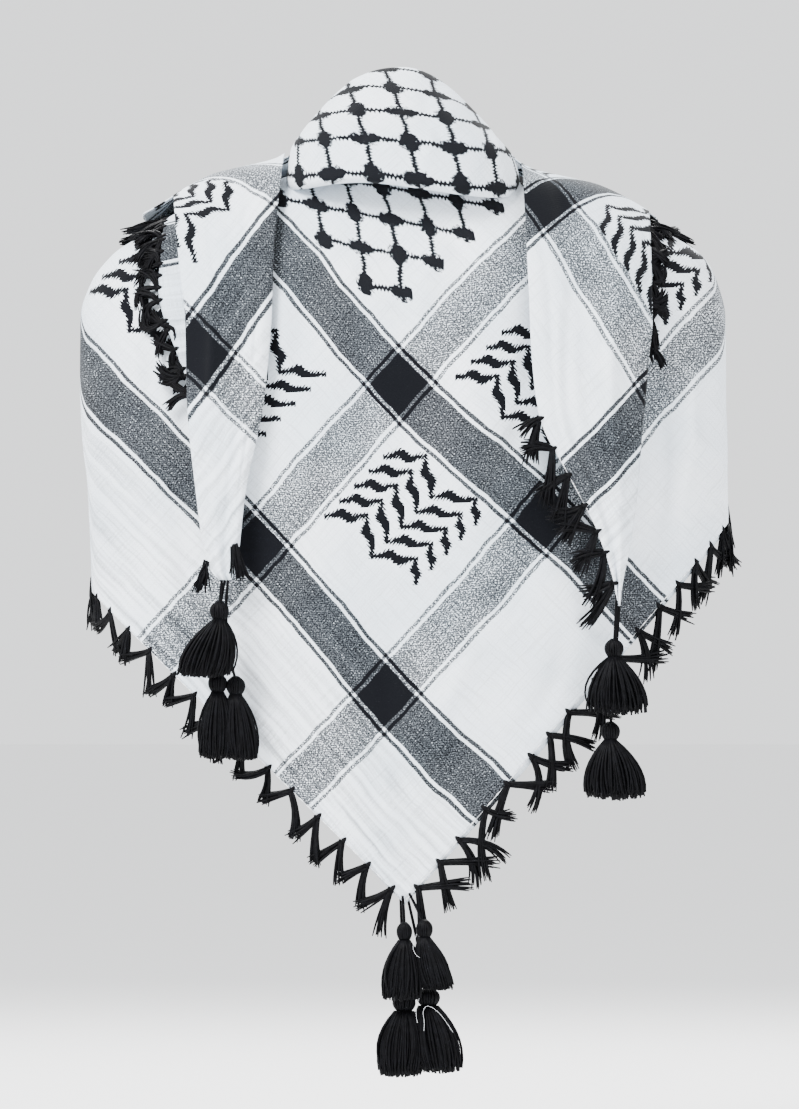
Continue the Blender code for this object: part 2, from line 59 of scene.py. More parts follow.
# The figure under the cloth at each height: half its width, its depth in front and behind, and its lean.
Level = namedtuple("Level", "height half_width front back lean")
LEVELS = rows_of(
    Level,
    (0.095, 0.066, 0.05, 0.072, 0.0),
    (0.07, 0.071, 0.056, 0.077, 0.0),
    (0.055, 0.078, 0.062, 0.082, 0.0),
    (0.046, 0.09, 0.07, 0.086, 0.001),
    (0.033, 0.141, 0.08, 0.092, 0.002),
    (0.012, 0.18, 0.092, 0.099, 0.003),
    (-0.013, 0.223, 0.104, 0.107, 0.003),
    (-0.034, 0.237, 0.113, 0.112, 0.001),
    (-0.06, 0.244, 0.12, 0.116, 0.0),
    (-0.11, 0.2445, 0.128, 0.119, 0.0),
    (-0.2, 0.242, 0.134, 0.118, 0.004),
    (-0.27, 0.2415, 0.134, 0.114, 0.006),
    (-0.36, 0.238, 0.13, 0.11, 0.005),
    (-0.49, 0.231, 0.119, 0.105, 0.0015),
    (-0.51, 0.23, 0.118, 0.105, 0.0015),
)
CAPE_TOP = 0.046
LEFT_CORNER = (-0.2365, -0.266)
TIP = (0.0015, -0.499)
RIGHT_CORNER = (0.247, -0.214)
NAPE_EDGE = -0.012
LAYER_GAP = 0.0045
HEM_GAP = 0.0024
UNDER_SHOWS = 0.007
UNDER_INSET = 0.012  # how far under the triangle's top the lower layer starts
FRONT_TURN = 0.9997  # the front ends this close to the figure's sides, which are at 1
UNDER_TURN = 0.97

# Folds of the triangle: a line from (x, z) to (x, z), its width, and its rise.
Fold = namedtuple("Fold", "from_x from_z to_x to_z width rise")
FOLDS = rows_of(
    Fold,
    (-0.215, -0.06, -0.19, -0.3, 0.022, 0.006),
    (-0.165, -0.08, -0.12, -0.36, 0.02, -0.005),
    (-0.085, 0.03, -0.03, -0.42, 0.026, 0.004),
    (0.07, 0.03, 0.035, -0.4, 0.026, 0.004),
    (0.2, -0.03, 0.19, -0.26, 0.016, -0.007),
    (0.226, -0.06, 0.222, -0.24, 0.012, 0.006),
)

# Rings round the cowl, from under its roll to its top edge. fall is how late on the way round the height
# turns into side_height, and bulge is how far the left side stands out.
Ring = namedtuple("Ring", "place width side_width front back height side_height fall left_fall bulge")
COWL = rows_of(
    Ring,
    (0.0, 0.0895, 0.0855, 0.0755, 0.08, 0.049, 0.0505, 10.0, 10.0, 0.0),
    (0.08, 0.093, 0.0857, 0.099, 0.081, 0.0435, 0.0515, 10.0, 10.0, 0.0),
    (0.16, 0.0965, 0.0857, 0.115, 0.081, 0.0365, 0.0525, 10.0, 10.0, 0.0),
    (0.24, 0.0985, 0.085, 0.1215, 0.08, 0.042, 0.0545, 8.0, 8.0, 0.0),
    (0.36, 0.093, 0.0825, 0.116, 0.077, 0.062, 0.059, 5.0, 5.0, 0.002),
    (0.52, 0.082, 0.0775, 0.093, 0.072, 0.092, 0.066, 2.6, 3.2, 0.007),
    (0.68, 0.0735, 0.0735, 0.062, 0.069, 0.116, 0.0725, 2.0, 2.7, 0.008),
    (0.8, 0.0655, 0.067, 0.038, 0.066, 0.128, 0.078, 1.9, 2.5, 0.006),
    (0.88, 0.0615, 0.0635, 0.029, 0.064, 0.124, 0.077, 1.9, 2.4, 0.004),
    (1.0, 0.06, 0.0625, 0.03, 0.063, 0.108, 0.064, 1.9, 2.2, 0.001),
)
COWL_REACH = 1.45
BULGE_END = 1.15
NARROWS_FROM = 0.6
ROLL_SWAY = 0.0045
ROLL_SAG = 0.0095  # how much lower the roll's front hangs at its ends
SWAY_HALF_WAVE = 0.1
ROLL_AT = 0.16  # the roll's place among the rings
ROLL_SPREAD = 0.25
ROLL_FOOT = 0.24  # the ring that lengths up the cowl are measured from

# The wraps round the neck at each turn: their upper and lower edge, and how far off and above the figure the
# outer one (over) and the inner one (under) lie.
Wrap = namedtuple("Wrap", "turn upper lower over over_lift under under_lift")
WRAP = rows_of(
    Wrap,
    (1.0, 0.057, 0.019, 0.006, 0.0065, 0.006, 0.0145),
    (1.3, 0.072, 0.009, 0.0088, 0.007, 0.0064, 0.0085),
    (1.65, 0.082, 0.003, 0.0125, 0.0085, 0.0068, 0.006),
    (2.0, 0.084, 0.0, 0.0135, 0.0095, 0.0066, 0.0055),
    (2.3, 0.068, -0.022, 0.0135, 0.0095, 0.0064, 0.0056),
    (2.55, 0.028, -0.056, 0.0125, 0.0092, 0.0066, 0.0056),
    (2.7, -0.018, -0.08, 0.0105, 0.0085, 0.0062, 0.005),
    (2.9, -0.074, -0.096, 0.0032, 0.0015, 0.003, 0.0015),
)

# A tail at each height: its inner and outer edge, and how far it hangs off the figure.
Hang = namedtuple("Hang", "height inner outer off")
RIGHT_TAIL = rows_of(
    Hang,
    (0.04, 0.0897, 0.186, 0.006),
    (-0.05, 0.094, 0.187, 0.015),
    (-0.086, 0.0955, 0.184, 0.017),
    (-0.124, 0.099, 0.181, 0.019),
    (-0.143, 0.1035, 0.179, 0.02),
    (-0.183, 0.125, 0.176, 0.022),
    (-0.224, 0.146, 0.171, 0.024),
    (-0.266, 0.1588, 0.1634, 0.025),
    (-0.278, 0.1602, 0.1622, 0.025),
)
LEFT_TAIL = rows_of(
    Hang,
    (0.04, -0.0897, -0.1735, 0.006),
    (-0.028, -0.097, -0.167, 0.013),
    (-0.062, -0.098, -0.163, 0.016),
    (-0.124, -0.1035, -0.1615, 0.019),
    (-0.199, -0.1185, -0.154, 0.022),
    (-0.235, -0.1225, -0.149, 0.023),
    (-0.25, -0.1247, -0.145, 0.0238),
    (-0.2585, -0.1285, -0.1372, 0.024),
)
RIGHT_UNDER = rows_of(
    Hang,
    (0.04, 0.12, 0.185, 0.0023),
    (-0.03, 0.115, 0.1855, 0.0042),
    (-0.082, 0.115, 0.183, 0.006),
    (-0.124, 0.125, 0.179, 0.007),
    (-0.2, 0.15, 0.171, 0.009),
    (-0.235, 0.158, 0.165, 0.01),
)
LEFT_UNDER = rows_of(
    Hang,
    (0.04, -0.11, -0.18, 0.0023),
    (-0.023, -0.11, -0.1835, 0.0045),
    (-0.05, -0.11, -0.179, 0.0055),
    (-0.083, -0.112, -0.169, 0.0065),
    (-0.13, -0.115, -0.155, 0.008),
    (-0.225, -0.125, -0.142, 0.01),
)
RIGHT_LIFT = 0.007
LEFT_LIFT = 0.015
UNDER_LIFT = 0.0025
UNDER_START = -0.18
TAIL_TOP = 0.04
TAIL_EASE = 1.7  # a tail's rows lie closer at the shoulder than at its tip
TAIL_FRONT = -0.00015  # the largest y of a tail's front half
FOLD_CURL = 0.0075
HEM_CURL = 0.0015
CURL_SHARPNESS = 5
CURL_WIDTH = 0.05  # a tail narrower than this curls less
PLEAT = 0.0028
WRAP_PLEAT = 0.0006
RIDGES = (0.0012, 0.0009)  # the heights of two runs of fine ridges along a wrap

# An edge's fringe: its knots' spacing, how far out the bundles meet at its start and at its end, how tangled
# they are, half their width where they meet, and how far they cross there, as a share of the spacing.
Knots = namedtuple("Knots", "spacing near far tangle fan cross")
KNOTS = Knots(0.0247, 0.022, 0.022, 0.0012, 0.0044, 0.0)
LONG_KNOTS = Knots(0.0247, 0.0265, 0.0265, 0.0024, 0.0046, 0.38)
TAIL_KNOTS = Knots(0.0215, 0.0165, 0.031, 0.0022, 0.0056, 0.2)
LEFT_KNOTS = Knots(0.0105, 0.019, 0.0125, 0.004, 0.0038, 0.4)  # the hems under the tails are gathered
RIGHT_KNOTS = Knots(0.01, 0.019, 0.0065, 0.003, 0.0034, 0.4)
Edge = namedtuple("Edge", "name cloth start end inwards droop knots")
EDGES = rows_of(
    Edge,
    ("front_left_fringe", "front_drape", (0.5, 1), (0, 1), (0, -0.05), 0.3, KNOTS),
    ("front_right_fringe", "front_drape", (0.5, 1), (1, 1), (0, -0.05), 0.45, LONG_KNOTS),
    ("left_wing_fringe", "left_wing", (0, 1), (0.96, 1), (0, -0.08), 0.3, KNOTS),
    ("right_wing_fringe", "right_wing", (0, 1), (0.96, 1), (0, -0.08), 0.45, LONG_KNOTS),
    ("right_tail_fringe", "right_tail", (0, 12.6 / 18), (0, 17.8 / 18), (0.12, 0), 0.55, TAIL_KNOTS),
    ("right_under_fringe", "right_tail_under", (1, 0.7 / 18), (1, 12 / 18), (-0.25, 0), 0.0, RIGHT_KNOTS),
    ("left_under_fringe", "left_tail_under", (1, 0.0), (1, 14 / 18), (-0.25, 0), 0.0, LEFT_KNOTS),
    ("right_wrap_fringe", "right_wrap", (1, 3 / 36), (1, 18 / 36), (-0.17, 0), 0.15, KNOTS),
    ("left_wrap_fringe", "left_wrap", (1, 3 / 36), (1, 18 / 36), (-0.17, 0), 0.15, KNOTS),
)

Tassel = namedtuple("Tassel", "name cord_x cord_z head_x head_z skirt_x skirt_z half_width seat depth")
TASSELS = rows_of(
    Tassel,
    ("left_tassel_1", -0.1355, -0.2588, -0.137, -0.276, -0.1483, -0.33, 0.0205, 0.0, -0.005),
    ("left_tassel_2", -0.1331, -0.2588, -0.1385, -0.33, -0.1418, -0.39, 0.0112, 0.0, 0.006),
    ("left_tassel_3", -0.1307, -0.2588, -0.125, -0.332, -0.119, -0.3915, 0.0112, 0.0, 0.006),
    ("right_tassel_1", 0.1598, -0.2663, 0.1575, -0.304, 0.16, -0.358, 0.023, 0.0, -0.005),
    ("right_tassel_2", 0.1622, -0.2663, 0.155, -0.366, 0.159, -0.4215, 0.023, 0.0, 0.0065),
    ("tip_tassel_1", -0.0005, -0.495, 0.001, -0.516, -0.001, -0.5715, 0.015, -0.0023, -0.0065),
    ("tip_tassel_2", 0.0045, -0.493, 0.016, -0.514, 0.026, -0.564, 0.012, -0.0023, -0.0065),
    ("tip_tassel_3", -0.002, -0.495, -0.006, -0.578, -0.01, -0.629, 0.015, 0.0047, 0.008),
    ("tip_tassel_4", 0.003, -0.495, 0.02, -0.574, 0.023, -0.626, 0.015, 0.0047, 0.008),
)


def smooth(rows, column, at):
    """The column of a table at values of its first column, on a curve through its rows."""
    places = np.array([row[0] for row in rows])
    values = np.array([getattr(row, column) for row in rows])
    if places[0] > places[-1]:
        places, values = places[::-1], values[::-1]
    at = np.clip(at, places[0], places[-1])
    slopes = np.diff(values) / np.diff(places)
    before, after = slopes[:-1], slopes[1:]
    same_way = before * after > 0
    mean = 2 * before * after / np.where(same_way, before + after, 1)
    tangents = np.concatenate([slopes[:1], np.where(same_way, mean, 0), slopes[-1:]])
    i = np.clip(np.searchsorted(places, at) - 1, 0, len(places) - 2)
    span = places[i + 1] - places[i]
    f = (at - places[i]) / span
    return (
        values[i] * (1 + 2 * f) * (1 - f) ** 2
        + values[i + 1] * f * f * (3 - 2 * f)
        + tangents[i] * span * f * (1 - f) ** 2
        - tangents[i + 1] * span * f * f * (1 - f)
    )


def eased(value, low, high):
    """0 below low, 1 above high, and a smooth rise between."""
    f = np.clip((value - low) / (high - low), 0, 1)
    return f * f * (3 - 2 * f)


def rounded(share):
    """The figure's depth at a share of its half width, as a share of its full depth."""
    return np.maximum(0, 1 - np.minimum(np.abs(share), 1) ** FULLNESS) ** (1 / FULLNESS)


def joined(x, y, z):
    """Points from their coordinates."""
    return np.stack(np.broadcast_arrays(x, y, z), axis=-1)


def figure(turn, height, out=0.0, lift=0.0):
    """Points round the figure: turn is 0 in front, 1 and -1 at its sides and 2 behind."""
    level = height - lift
    across = np.sin(turn * np.pi / 2)
    facing = np.cos(turn * np.pi / 2)
    depth = np.where(facing >= 0, smooth(LEVELS, "front", level), smooth(LEVELS, "back", level)) + out
    x = smooth(LEVELS, "lean", level) + (smooth(LEVELS, "half_width", level) + out) * across
    return joined(x, -np.copysign(depth * rounded(across), facing), height)


def depth_at(side, x, height, out, lift):
    """The figure's depth in front or behind, at one x and height."""
    level = height - lift
    share = (x - smooth(LEVELS, "lean", level)) / (smooth(LEVELS, "half_width", level) + out)
    return (smooth(LEVELS, side, level) + out) * rounded(share)


def shoulder_height(x, out, lift):
    """How high the shoulder is at each x, found by halving."""
    low = np.full(np.shape(x), -0.06 + lift)
    high = np.full(np.shape(x), CAPE_TOP + 0.02 + lift)
    for _ in range(30):
        middle = (low + high) / 2
        reach = smooth(LEVELS, "half_width", middle - lift) + out
        wider = reach > np.abs(x - smooth(LEVELS, "lean", middle - lift))
        low, high = np.where(wider, middle, low), np.where(wider, high, middle)
    return low


def lower_edge(turn, below=0.0):
    """The height of the cape's hem: straight in front view from tip to corner, then up to the nape."""
    side_x = np.where(turn > 0, RIGHT_CORNER[0], LEFT_CORNER[0])
    side_z = np.where(turn > 0, RIGHT_CORNER[1], LEFT_CORNER[1])
    behind = side_z + (NAPE_EDGE - side_z) * np.minimum(np.abs(turn) - 1, 1)
    height = np.full(np.shape(turn), TIP[1])
    for _ in range(8):
        share = (figure(turn, height)[..., 0] - TIP[0]) / (side_x - TIP[0])
        height = TIP[1] - below + (side_z - TIP[1]) * share
    return np.where(np.abs(turn) > 1, behind, height)


def folds(x, height):
    """How far the triangle's folds push the cloth out here."""
    rise = 0.0
    for fold in FOLDS:
        along = np.clip((fold.from_z - height) / (fold.from_z - fold.to_z), 0, 1)
        centre = fold.from_x + (fold.to_x - fold.from_x) * along
        swell = np.maximum(np.sin(np.pi * along), 0) ** 0.7
        rise = rise + fold.rise * swell * np.exp(-(((x - centre) / fold.width) ** 2))
    return rise


def creases(table, x, z):
    """How far the creases of a table, each a line with a width and a rise, push the cloth out here."""
    rise = 0.0
    for row in table:
        run = np.array((row.to_x - row.from_x, row.to_z - row.from_z))
        length = math.hypot(*run)
        along = ((x - row.from_x) * run[0] + (z - row.from_z) * run[1]) / length**2
        off = ((x - row.from_x) * run[1] - (z - row.from_z) * run[0]) / length
        bow = 0.12 * length * np.sin(np.pi * np.clip(along, 0, 1)) * (1 if row.rise > 0 else -1)
        fade = np.sin(np.pi * np.clip(along, 0, 1)) ** 0.8
        rise = rise + row.rise * fade * np.exp(-(((off - bow) / row.width) ** 2))
    return rise


# Small creases of the triangle, in front view.
FRONT_CREASES = rows_of(
    Fold,
    (-0.09, -0.02, -0.06, -0.14, 0.0081, 0.0027),
    (-0.07, -0.06, -0.02, -0.17, 0.0068, -0.0024),
    (-0.01, 0.01, -0.05, -0.09, 0.0074, 0.0022),
    (0.02, 0.02, 0.05, -0.1, 0.0081, -0.0026),
    (0.075, 0.0, 0.06, -0.15, 0.0088, 0.0029),
    (0.09, -0.11, 0.04, -0.21, 0.0081, -0.0022),
    (-0.12, -0.23, -0.07, -0.33, 0.0095, 0.0026),
    (-0.06, -0.25, -0.01, -0.4, 0.0081, -0.0022),
    (0.01, -0.22, 0.07, -0.33, 0.0081, 0.0024),
    (0.06, -0.3, 0.03, -0.43, 0.0068, 0.0022),
    (0.12, -0.29, 0.08, -0.38, 0.0081, -0.0024),
    (-0.01, -0.38, 0.01, -0.48, 0.0068, 0.0027),
    (-0.19, -0.17, -0.17, -0.3, 0.0081, -0.0031),
    (-0.228, -0.1, -0.222, -0.25, 0.0061, 0.0037),
    (-0.205, -0.04, -0.212, -0.19, 0.0068, -0.0031),
    (0.176, -0.1, 0.186, -0.23, 0.0068, -0.0037),
    (0.212, -0.07, 0.208, -0.22, 0.0065, -0.0048),
    (0.236, -0.06, 0.233, -0.19, 0.0054, 0.0041),
    (0.15, -0.21, 0.19, -0.26, 0.0081, 0.0024),
    (-0.16, -0.01, -0.215, -0.04, 0.0068, 0.0027),
    (0.15, 0.01, 0.215, -0.03, 0.0068, 0.0029),
    (-0.15, -0.32, -0.1, -0.38, 0.0068, -0.002),
    (-0.083, 0.02, -0.094, -0.13, 0.011, -0.005),
    (0.084, 0.022, 0.09, -0.12, 0.011, -0.005),
    (-0.052, 0.018, -0.004, -0.066, 0.0095, 0.0034),
    (0.046, 0.014, 0.012, -0.08, 0.009, 0.0032),
    (-0.128, -0.25, -0.106, -0.36, 0.01, -0.0036),
    (-0.02, -0.12, 0.03, -0.26, 0.011, 0.0028),
    (0.1, -0.21, 0.052, -0.3, 0.01, -0.003),
    (-0.052, -0.33, 0.006, -0.452, 0.0085, -0.0027),
    (0.232, -0.15, 0.214, -0.246, 0.007, 0.0034),
    (-0.206, -0.22, -0.236, -0.262, 0.008, 0.003),
)
# The same on the back and round the arms, where x is the way round from the arm.
WING_CREASES = rows_of(
    Fold,
    (0.02, 0.01, 0.03, -0.22, 0.0075, -0.004),
    (0.05, 0.02, 0.066, -0.18, 0.007, 0.0035),
    (0.085, 0.025, 0.105, -0.15, 0.008, -0.0032),
    (0.125, 0.02, 0.15, -0.1, 0.007, 0.003),
    (0.165, 0.02, 0.19, -0.08, 0.0085, -0.0028),
    (0.21, 0.02, 0.24, -0.04, 0.007, 0.0024),
    (0.035, -0.08, 0.048, -0.24, 0.006, 0.003),
    (0.1, -0.06, 0.09, -0.17, 0.006, -0.0022),
)
# Creases of the cowl: x is the way round the throat and z the way up the cloth from its roll.
COWL_CREASES = rows_of(
    Fold,
    (-0.07, 0.005, -0.03, 0.1, 0.006, 0.0018),
    (-0.04, 0.002, 0.004, 0.07, 0.0055, -0.0016),
    (0.01, 0.004, 0.02, 0.06, 0.005, 0.0014),
    (0.045, 0.006, 0.02, 0.11, 0.0065, -0.0017),
    (0.085, 0.01, 0.05, 0.1, 0.006, 0.0019),
    (-0.105, 0.01, -0.08, 0.08, 0.006, -0.0016),
    (0.11, 0.0, 0.09, 0.07, 0.0055, -0.0018),
    (-0.02, 0.06, -0.05, 0.12, 0.0055, 0.0013),
)
# Creases of a tail, from its inner edge (x 0) to its outer one (x 1) and down it (z 0 to -1).
TAIL_CREASES = rows_of(
    Fold,
    (0.2, -0.02, 0.3, -0.7, 0.06, -0.0031),
    (0.42, -0.05, 0.48, -0.95, 0.07, 0.0031),
    (0.62, 0.0, 0.6, -0.6, 0.055, -0.0034),
    (0.8, -0.1, 0.76, -0.9, 0.06, 0.0028),
    (0.3, -0.4, 0.24, -1.0, 0.055, 0.0025),
    (0.9, -0.02, 0.92, -0.5, 0.04, -0.0025),
    (0.1, -0.3, 0.12, -0.9, 0.04, -0.002),
)


def front_flat(turn, height):
    """Where a point of the triangle or a wing would lie in front view if its cloth were spread flat."""
    steps = 40
    share = np.linspace(0, 1, steps + 1).reshape((-1,) + (1,) * np.ndim(turn))
    round_it = figure(turn * share, np.broadcast_to(height, np.shape(turn)) + 0 * share)
    dx = np.diff(round_it[..., 0], axis=0)
    dy = np.diff(round_it[..., 1], axis=0)
    counts = eased(np.abs(turn * share[1:]), 0.84, 1.0)
    across = np.sum(np.sqrt(dx**2 + counts * dy**2), axis=0) * np.sign(turn)
    low = np.minimum(height, -0.02)
    up_it = figure(turn + 0 * share, low + (height - low) * share)
    dy, dz = np.diff(up_it[..., 1], axis=0), np.diff(up_it[..., 2], axis=0)
    up = low + np.sum(np.hypot(dy, dz), axis=0)
    return across, up


def drape(turn, height, out=0.0, lift=0.0):
    """The figure with the triangle's folds and creases."""
    points = figure(turn, height, out, lift)
    x = points[..., 0]
    push = folds(x, height) + creases(FRONT_CREASES, x, height)
    points[..., 1] -= push * np.maximum(0, np.cos(turn * np.pi / 2)) ** 0.3
    return points


def front_shape(u, v):
    turn = (2 * u - 1) * FRONT_TURN
    height = CAPE_TOP + (lower_edge(turn) - CAPE_TOP) * v
    return drape(turn, height), front_flat(turn, height)


def under_shape(u, v):
    turn = (2 * u - 1) * UNDER_TURN
    top = CAPE_TOP - UNDER_INSET
    below = UNDER_SHOWS * np.clip(turn * 2.5 + 0.4, 0.15, 1)
    height = top + (lower_edge(turn, below) - top) * v
    gap = LAYER_GAP + (HEM_GAP - LAYER_GAP) * np.clip((v - 0.8) / 0.2, 0, 1)
    return drape(turn, height, -gap, -gap), front_flat(turn, height)


def wing_shape(side):
    def shape(u, v):
        turn = side * (2 - FRONT_TURN + u * (2 * FRONT_TURN - 1))
        height = CAPE_TOP + (lower_edge(turn) - CAPE_TOP) * v
        across, up = front_flat(turn, height)
        start = front_flat(np.full_like(turn, side * 1.0), height)[0]
        free = eased(u, 0, 0.06) * (1 - eased(u, 0.94, 1))
        push = creases(WING_CREASES, np.abs(across - start), height) * free
        return figure(turn, height, push), (across, up)

    return shape


def cowl_shape(u, v):
    turn = (2 * u - 1) * COWL_REACH
    across = np.sin(turn * np.pi / 2)
    facing = np.cos(turn * np.pi / 2)
    aside = eased(np.abs(turn), NARROWS_FROM, 1)
    width = smooth(COWL, "width", v)
    x = (width + (smooth(COWL, "side_width", v) - width) * aside) * across
    bulge = smooth(COWL, "bulge", v) * np.clip((BULGE_END + turn) / (BULGE_END - 1), 0, 1)
    x = x + np.where(turn < 0, bulge, 0) * across
    depth = np.where(facing >= 0, smooth(COWL, "front", v), smooth(COWL, "back", v))
    fall = np.where(turn < 0, smooth(COWL, "left_fall", v), smooth(COWL, "fall", v))
    fall = np.sin(np.minimum(np.abs(turn), 1) * np.pi / 2) ** fall
    height = smooth(COWL, "height", v)
    height = height + (smooth(COWL, "side_height", v) - height) * fall
    near_roll = np.maximum(0, 1 - np.abs(v - ROLL_AT) / ROLL_SPREAD)
    height = height - ROLL_SWAY * near_roll * np.sin(np.pi * x / SWAY_HALF_WAVE) * (1 - aside)
    height = height - ROLL_SAG * near_roll * (x / COWL[2].width) ** 2 * np.clip(4 * facing, 0, 1)
    points = joined(x, -np.copysign(depth * rounded(across), facing), height)
    up = length_along(points, 0)
    up = up - up[int(ROLL_FOOT * (len(up) - 1))]
    way_round = length_along(points, 1)
    way_round = way_round - way_round[:, way_round.shape[1] // 2][:, None]
    push = creases(COWL_CREASES, way_round, up) * eased(v, 0.1, 0.3) * (1 - eased(v, 0.8, 1)) * (1 - aside)
    points[..., 1] -= push
    points[..., 2] += 0.6 * push
    return points, (way_round, up)


def length_along(points, axis):
    """The running length of the grid lines of an array of points along one axis of the grid."""
    steps = np.linalg.norm(np.diff(points, axis=axis), axis=-1)
    run = np.cumsum(steps, axis=axis)
    return np.concatenate([np.zeros_like(np.take(run, [0], axis=axis)), run], axis=axis)


def wrap_shape(side, layer, top_rows):
    """A band round the neck. top_rows is the flat place of its tail's top, which the wrap carries on."""

    def shape(u, v):
        turn = WRAP[0].turn + (WRAP[-1].turn - WRAP[0].turn) * v
        upper, lower = smooth(WRAP, "upper", turn), smooth(WRAP, "lower", turn)
        height = upper + (lower - upper) * u
        ridges = RIDGES[0] * np.sin(9.5 * u + 2.2 * np.sin(2.1 * v)) + RIDGES[1] * np.sin(21 * u - 3 * v)
        out = smooth(WRAP, layer, turn) + WRAP_PLEAT * np.cos(3 * np.pi * u)
        out = out + ridges * eased(v, 0.0, 0.12) * (1 - eased(v, 0.85, 1))
        points = figure(side * turn, height, out, smooth(WRAP, layer + "_lift", turn))
        run = length_along(points, 0)
        x, up = top_rows
        order = np.argsort(x)
        across = points[0, :, 0][None] + 0 * run
        return points, (across, np.interp(across[0], x[order], up[order])[None] + run)

    return shape


def tail_shape(table, lift, start, inner_curl, outer_curl, pleat):
    """A tail over the shoulder. Its places run from start to 1 at its tip, and below 0 they lie behind."""
    bottom = table[-1].height
    out = table[0].off

    def shape(u, v):
        place = start + (1 - start) * v
        level = TAIL_TOP + (bottom - TAIL_TOP) * np.abs(place) ** TAIL_EASE
        inner, outer = smooth(table, "inner", level), smooth(table, "outer", level)
        x = inner + (outer - inner) * u
        ridge = shoulder_height(x, out, lift)
        height = level + (ridge - TAIL_TOP) * (1 - place * place) ** 2
        free = np.clip(place * 3, 0, 1)
        y = -depth_at("front", x, height, out, lift) - (smooth(table, "off", level) - out) * free
        edge = 2 * u - 1
        wide = np.minimum(1, np.abs(outer - inner) / CURL_WIDTH)
        y = y + free * np.where(edge > 0, outer_curl, inner_curl) * wide * np.abs(edge) ** CURL_SHARPNESS
        y = y - free * pleat * np.cos(3 * np.pi * u) * (1 - edge * edge)
        if pleat:
            y = y - creases(TAIL_CREASES, u, -v) * free * wide
        y = np.where(place < 0, depth_at("back", x, height, out, lift), np.minimum(y, TAIL_FRONT))
        points = joined(x, y, height)
        steps = np.diff(points, axis=0)
        counts = eased(points[1:, :, 2], -0.01, 0.02)
        run = np.sqrt(steps[..., 2] ** 2 + counts * steps[..., 1] ** 2)
        total = np.concatenate([np.zeros((1, points.shape[1])), np.cumsum(run, axis=0)])
        return points, (x, height[-1][None] + total[-1][None] - total)

    return shape


# ---- How the one square lies: (s, t) are a point's distances from two of its hems, in metres.

SIDE = 1.2
Lay = namedtuple("Lay", "x z s t step_s step_t")  # step_s and step_t: front-view way for 1 m of s and of t
FRONT_LAY = Lay(-0.0135, -0.3375, 0.104, 0.117, (0.6879, 0.7544), (-0.6841, 0.7095))
LEFT_TAIL_LAY = Lay(-0.15225, -0.08775, 0.104, 0.117, (-0.8095, 0.8095), (0.5434, 0.7708))
RIGHT_TAIL_LAY = Lay(0.1964, -0.1161, 0.104, 0.117, (-0.5231, 0.8731), (0.6874, 0.7172))
LEFT_UNDER_LAY = Lay(-0.176, -0.002, 0.104, 0.52, (-0.15, 0.99), (0.99, 0.15))
RIGHT_UNDER_LAY = Lay(0.205, 0.04, 0.104, 0.52, (0.3, 0.95), (-0.95, 0.3))

# How far, in front view, the bands of the triangle's middle have sunk, and the half width of that stretch.
SINK = (0.0052, 0.0075)
SINK_WIDTH = 0.075

# Leaf rows sit in the squares between the bands, from these distances on, and repeat at this spacing.
CELL_START = (0.127, 0.13)
REPEAT = 0.132
# How far the pull of the cloth shifts the leaf rows of each square of the triangle, in (s, t).
LEAF_SHIFTS = {(0, 1): (0.0134, -0.0143), (0, 2): (0.0091, 0.0151), (1, 0): (0.0046, 0.0047)}
OUTER_SHIFT = (0.0102, 0.0103)
LEFT_TAIL_SHIFT = (0.0131, -0.0234)
RIGHT_TAIL_SHIFT = (0.003, 0.0052)

NET_PITCH = 0.0285
NET_CORNER = (0.0032, 0.4399)  # (s - t) / sqrt 2 and (s + t) / sqrt 2 at the net's outermost knot
# The net of the triangle: its lowest knot, and the steps to the next knot across and up, in front view.
NET_LOWEST = (-0.0008, -0.0435)
NET_ACROSS = (0.02775, -0.006)
NET_UP = (-0.0056, 0.02925)
# The cowl's net: how its columns and rows lean, where one knot is, the way between knots, and its row.
COWL_LEAN = (0.2165, 0.03)
COWL_KNOT = (0.0115, 0.001)
COWL_PITCH = (0.0335, 0.0293)
COWL_ROW = 14


def solved(step_a, step_b, dx, dz):
    """How many of two steps, each an (x, z), lead dx and dz away."""
    way = np.linalg.inv(np.array([step_a, step_b]).T)
    return way[0, 0] * dx + way[0, 1] * dz, way[1, 0] * dx + way[1, 1] * dz


def laid(lay, across, up):
    """(s, t) of points whose flat place in front view is (across, up)."""
    s, t = solved(lay.step_s, lay.step_t, across - lay.x, up - lay.z)
    return lay.s + s, lay.t + t


def net_of(s, t):
    """Which knot of the net a point is at, counted across and up from the net's outermost knot."""
    column = ((s - t) / math.sqrt(2) - NET_CORNER[0]) / NET_PITCH
    row = ((s + t) / math.sqrt(2) - NET_CORNER[1]) / NET_PITCH
    return column, row


def lay_by(lay, shift=(0.0, 0.0)):
    """The weave, leaf and net maps of a stretch that lies by one Lay."""

    def maps(across, up):
        s, t = laid(lay, across, up)
        return {"weave": (s, t), "leaf": (s + shift[0], t + shift[1]), "net": net_of(s, t)}

    return maps


def lay_front(across, up):
    """The triangle's middle hangs a little lower than its sides, and its bands with it."""
    sunk = np.exp(-((across / SINK_WIDTH) ** 2))
    weave = laid(FRONT_LAY, across + SINK[0] * sunk, up + SINK[1] * sunk)
    maps = front_maps(*laid(FRONT_LAY, across, up), across, up)
    return {**maps, "weave": weave}


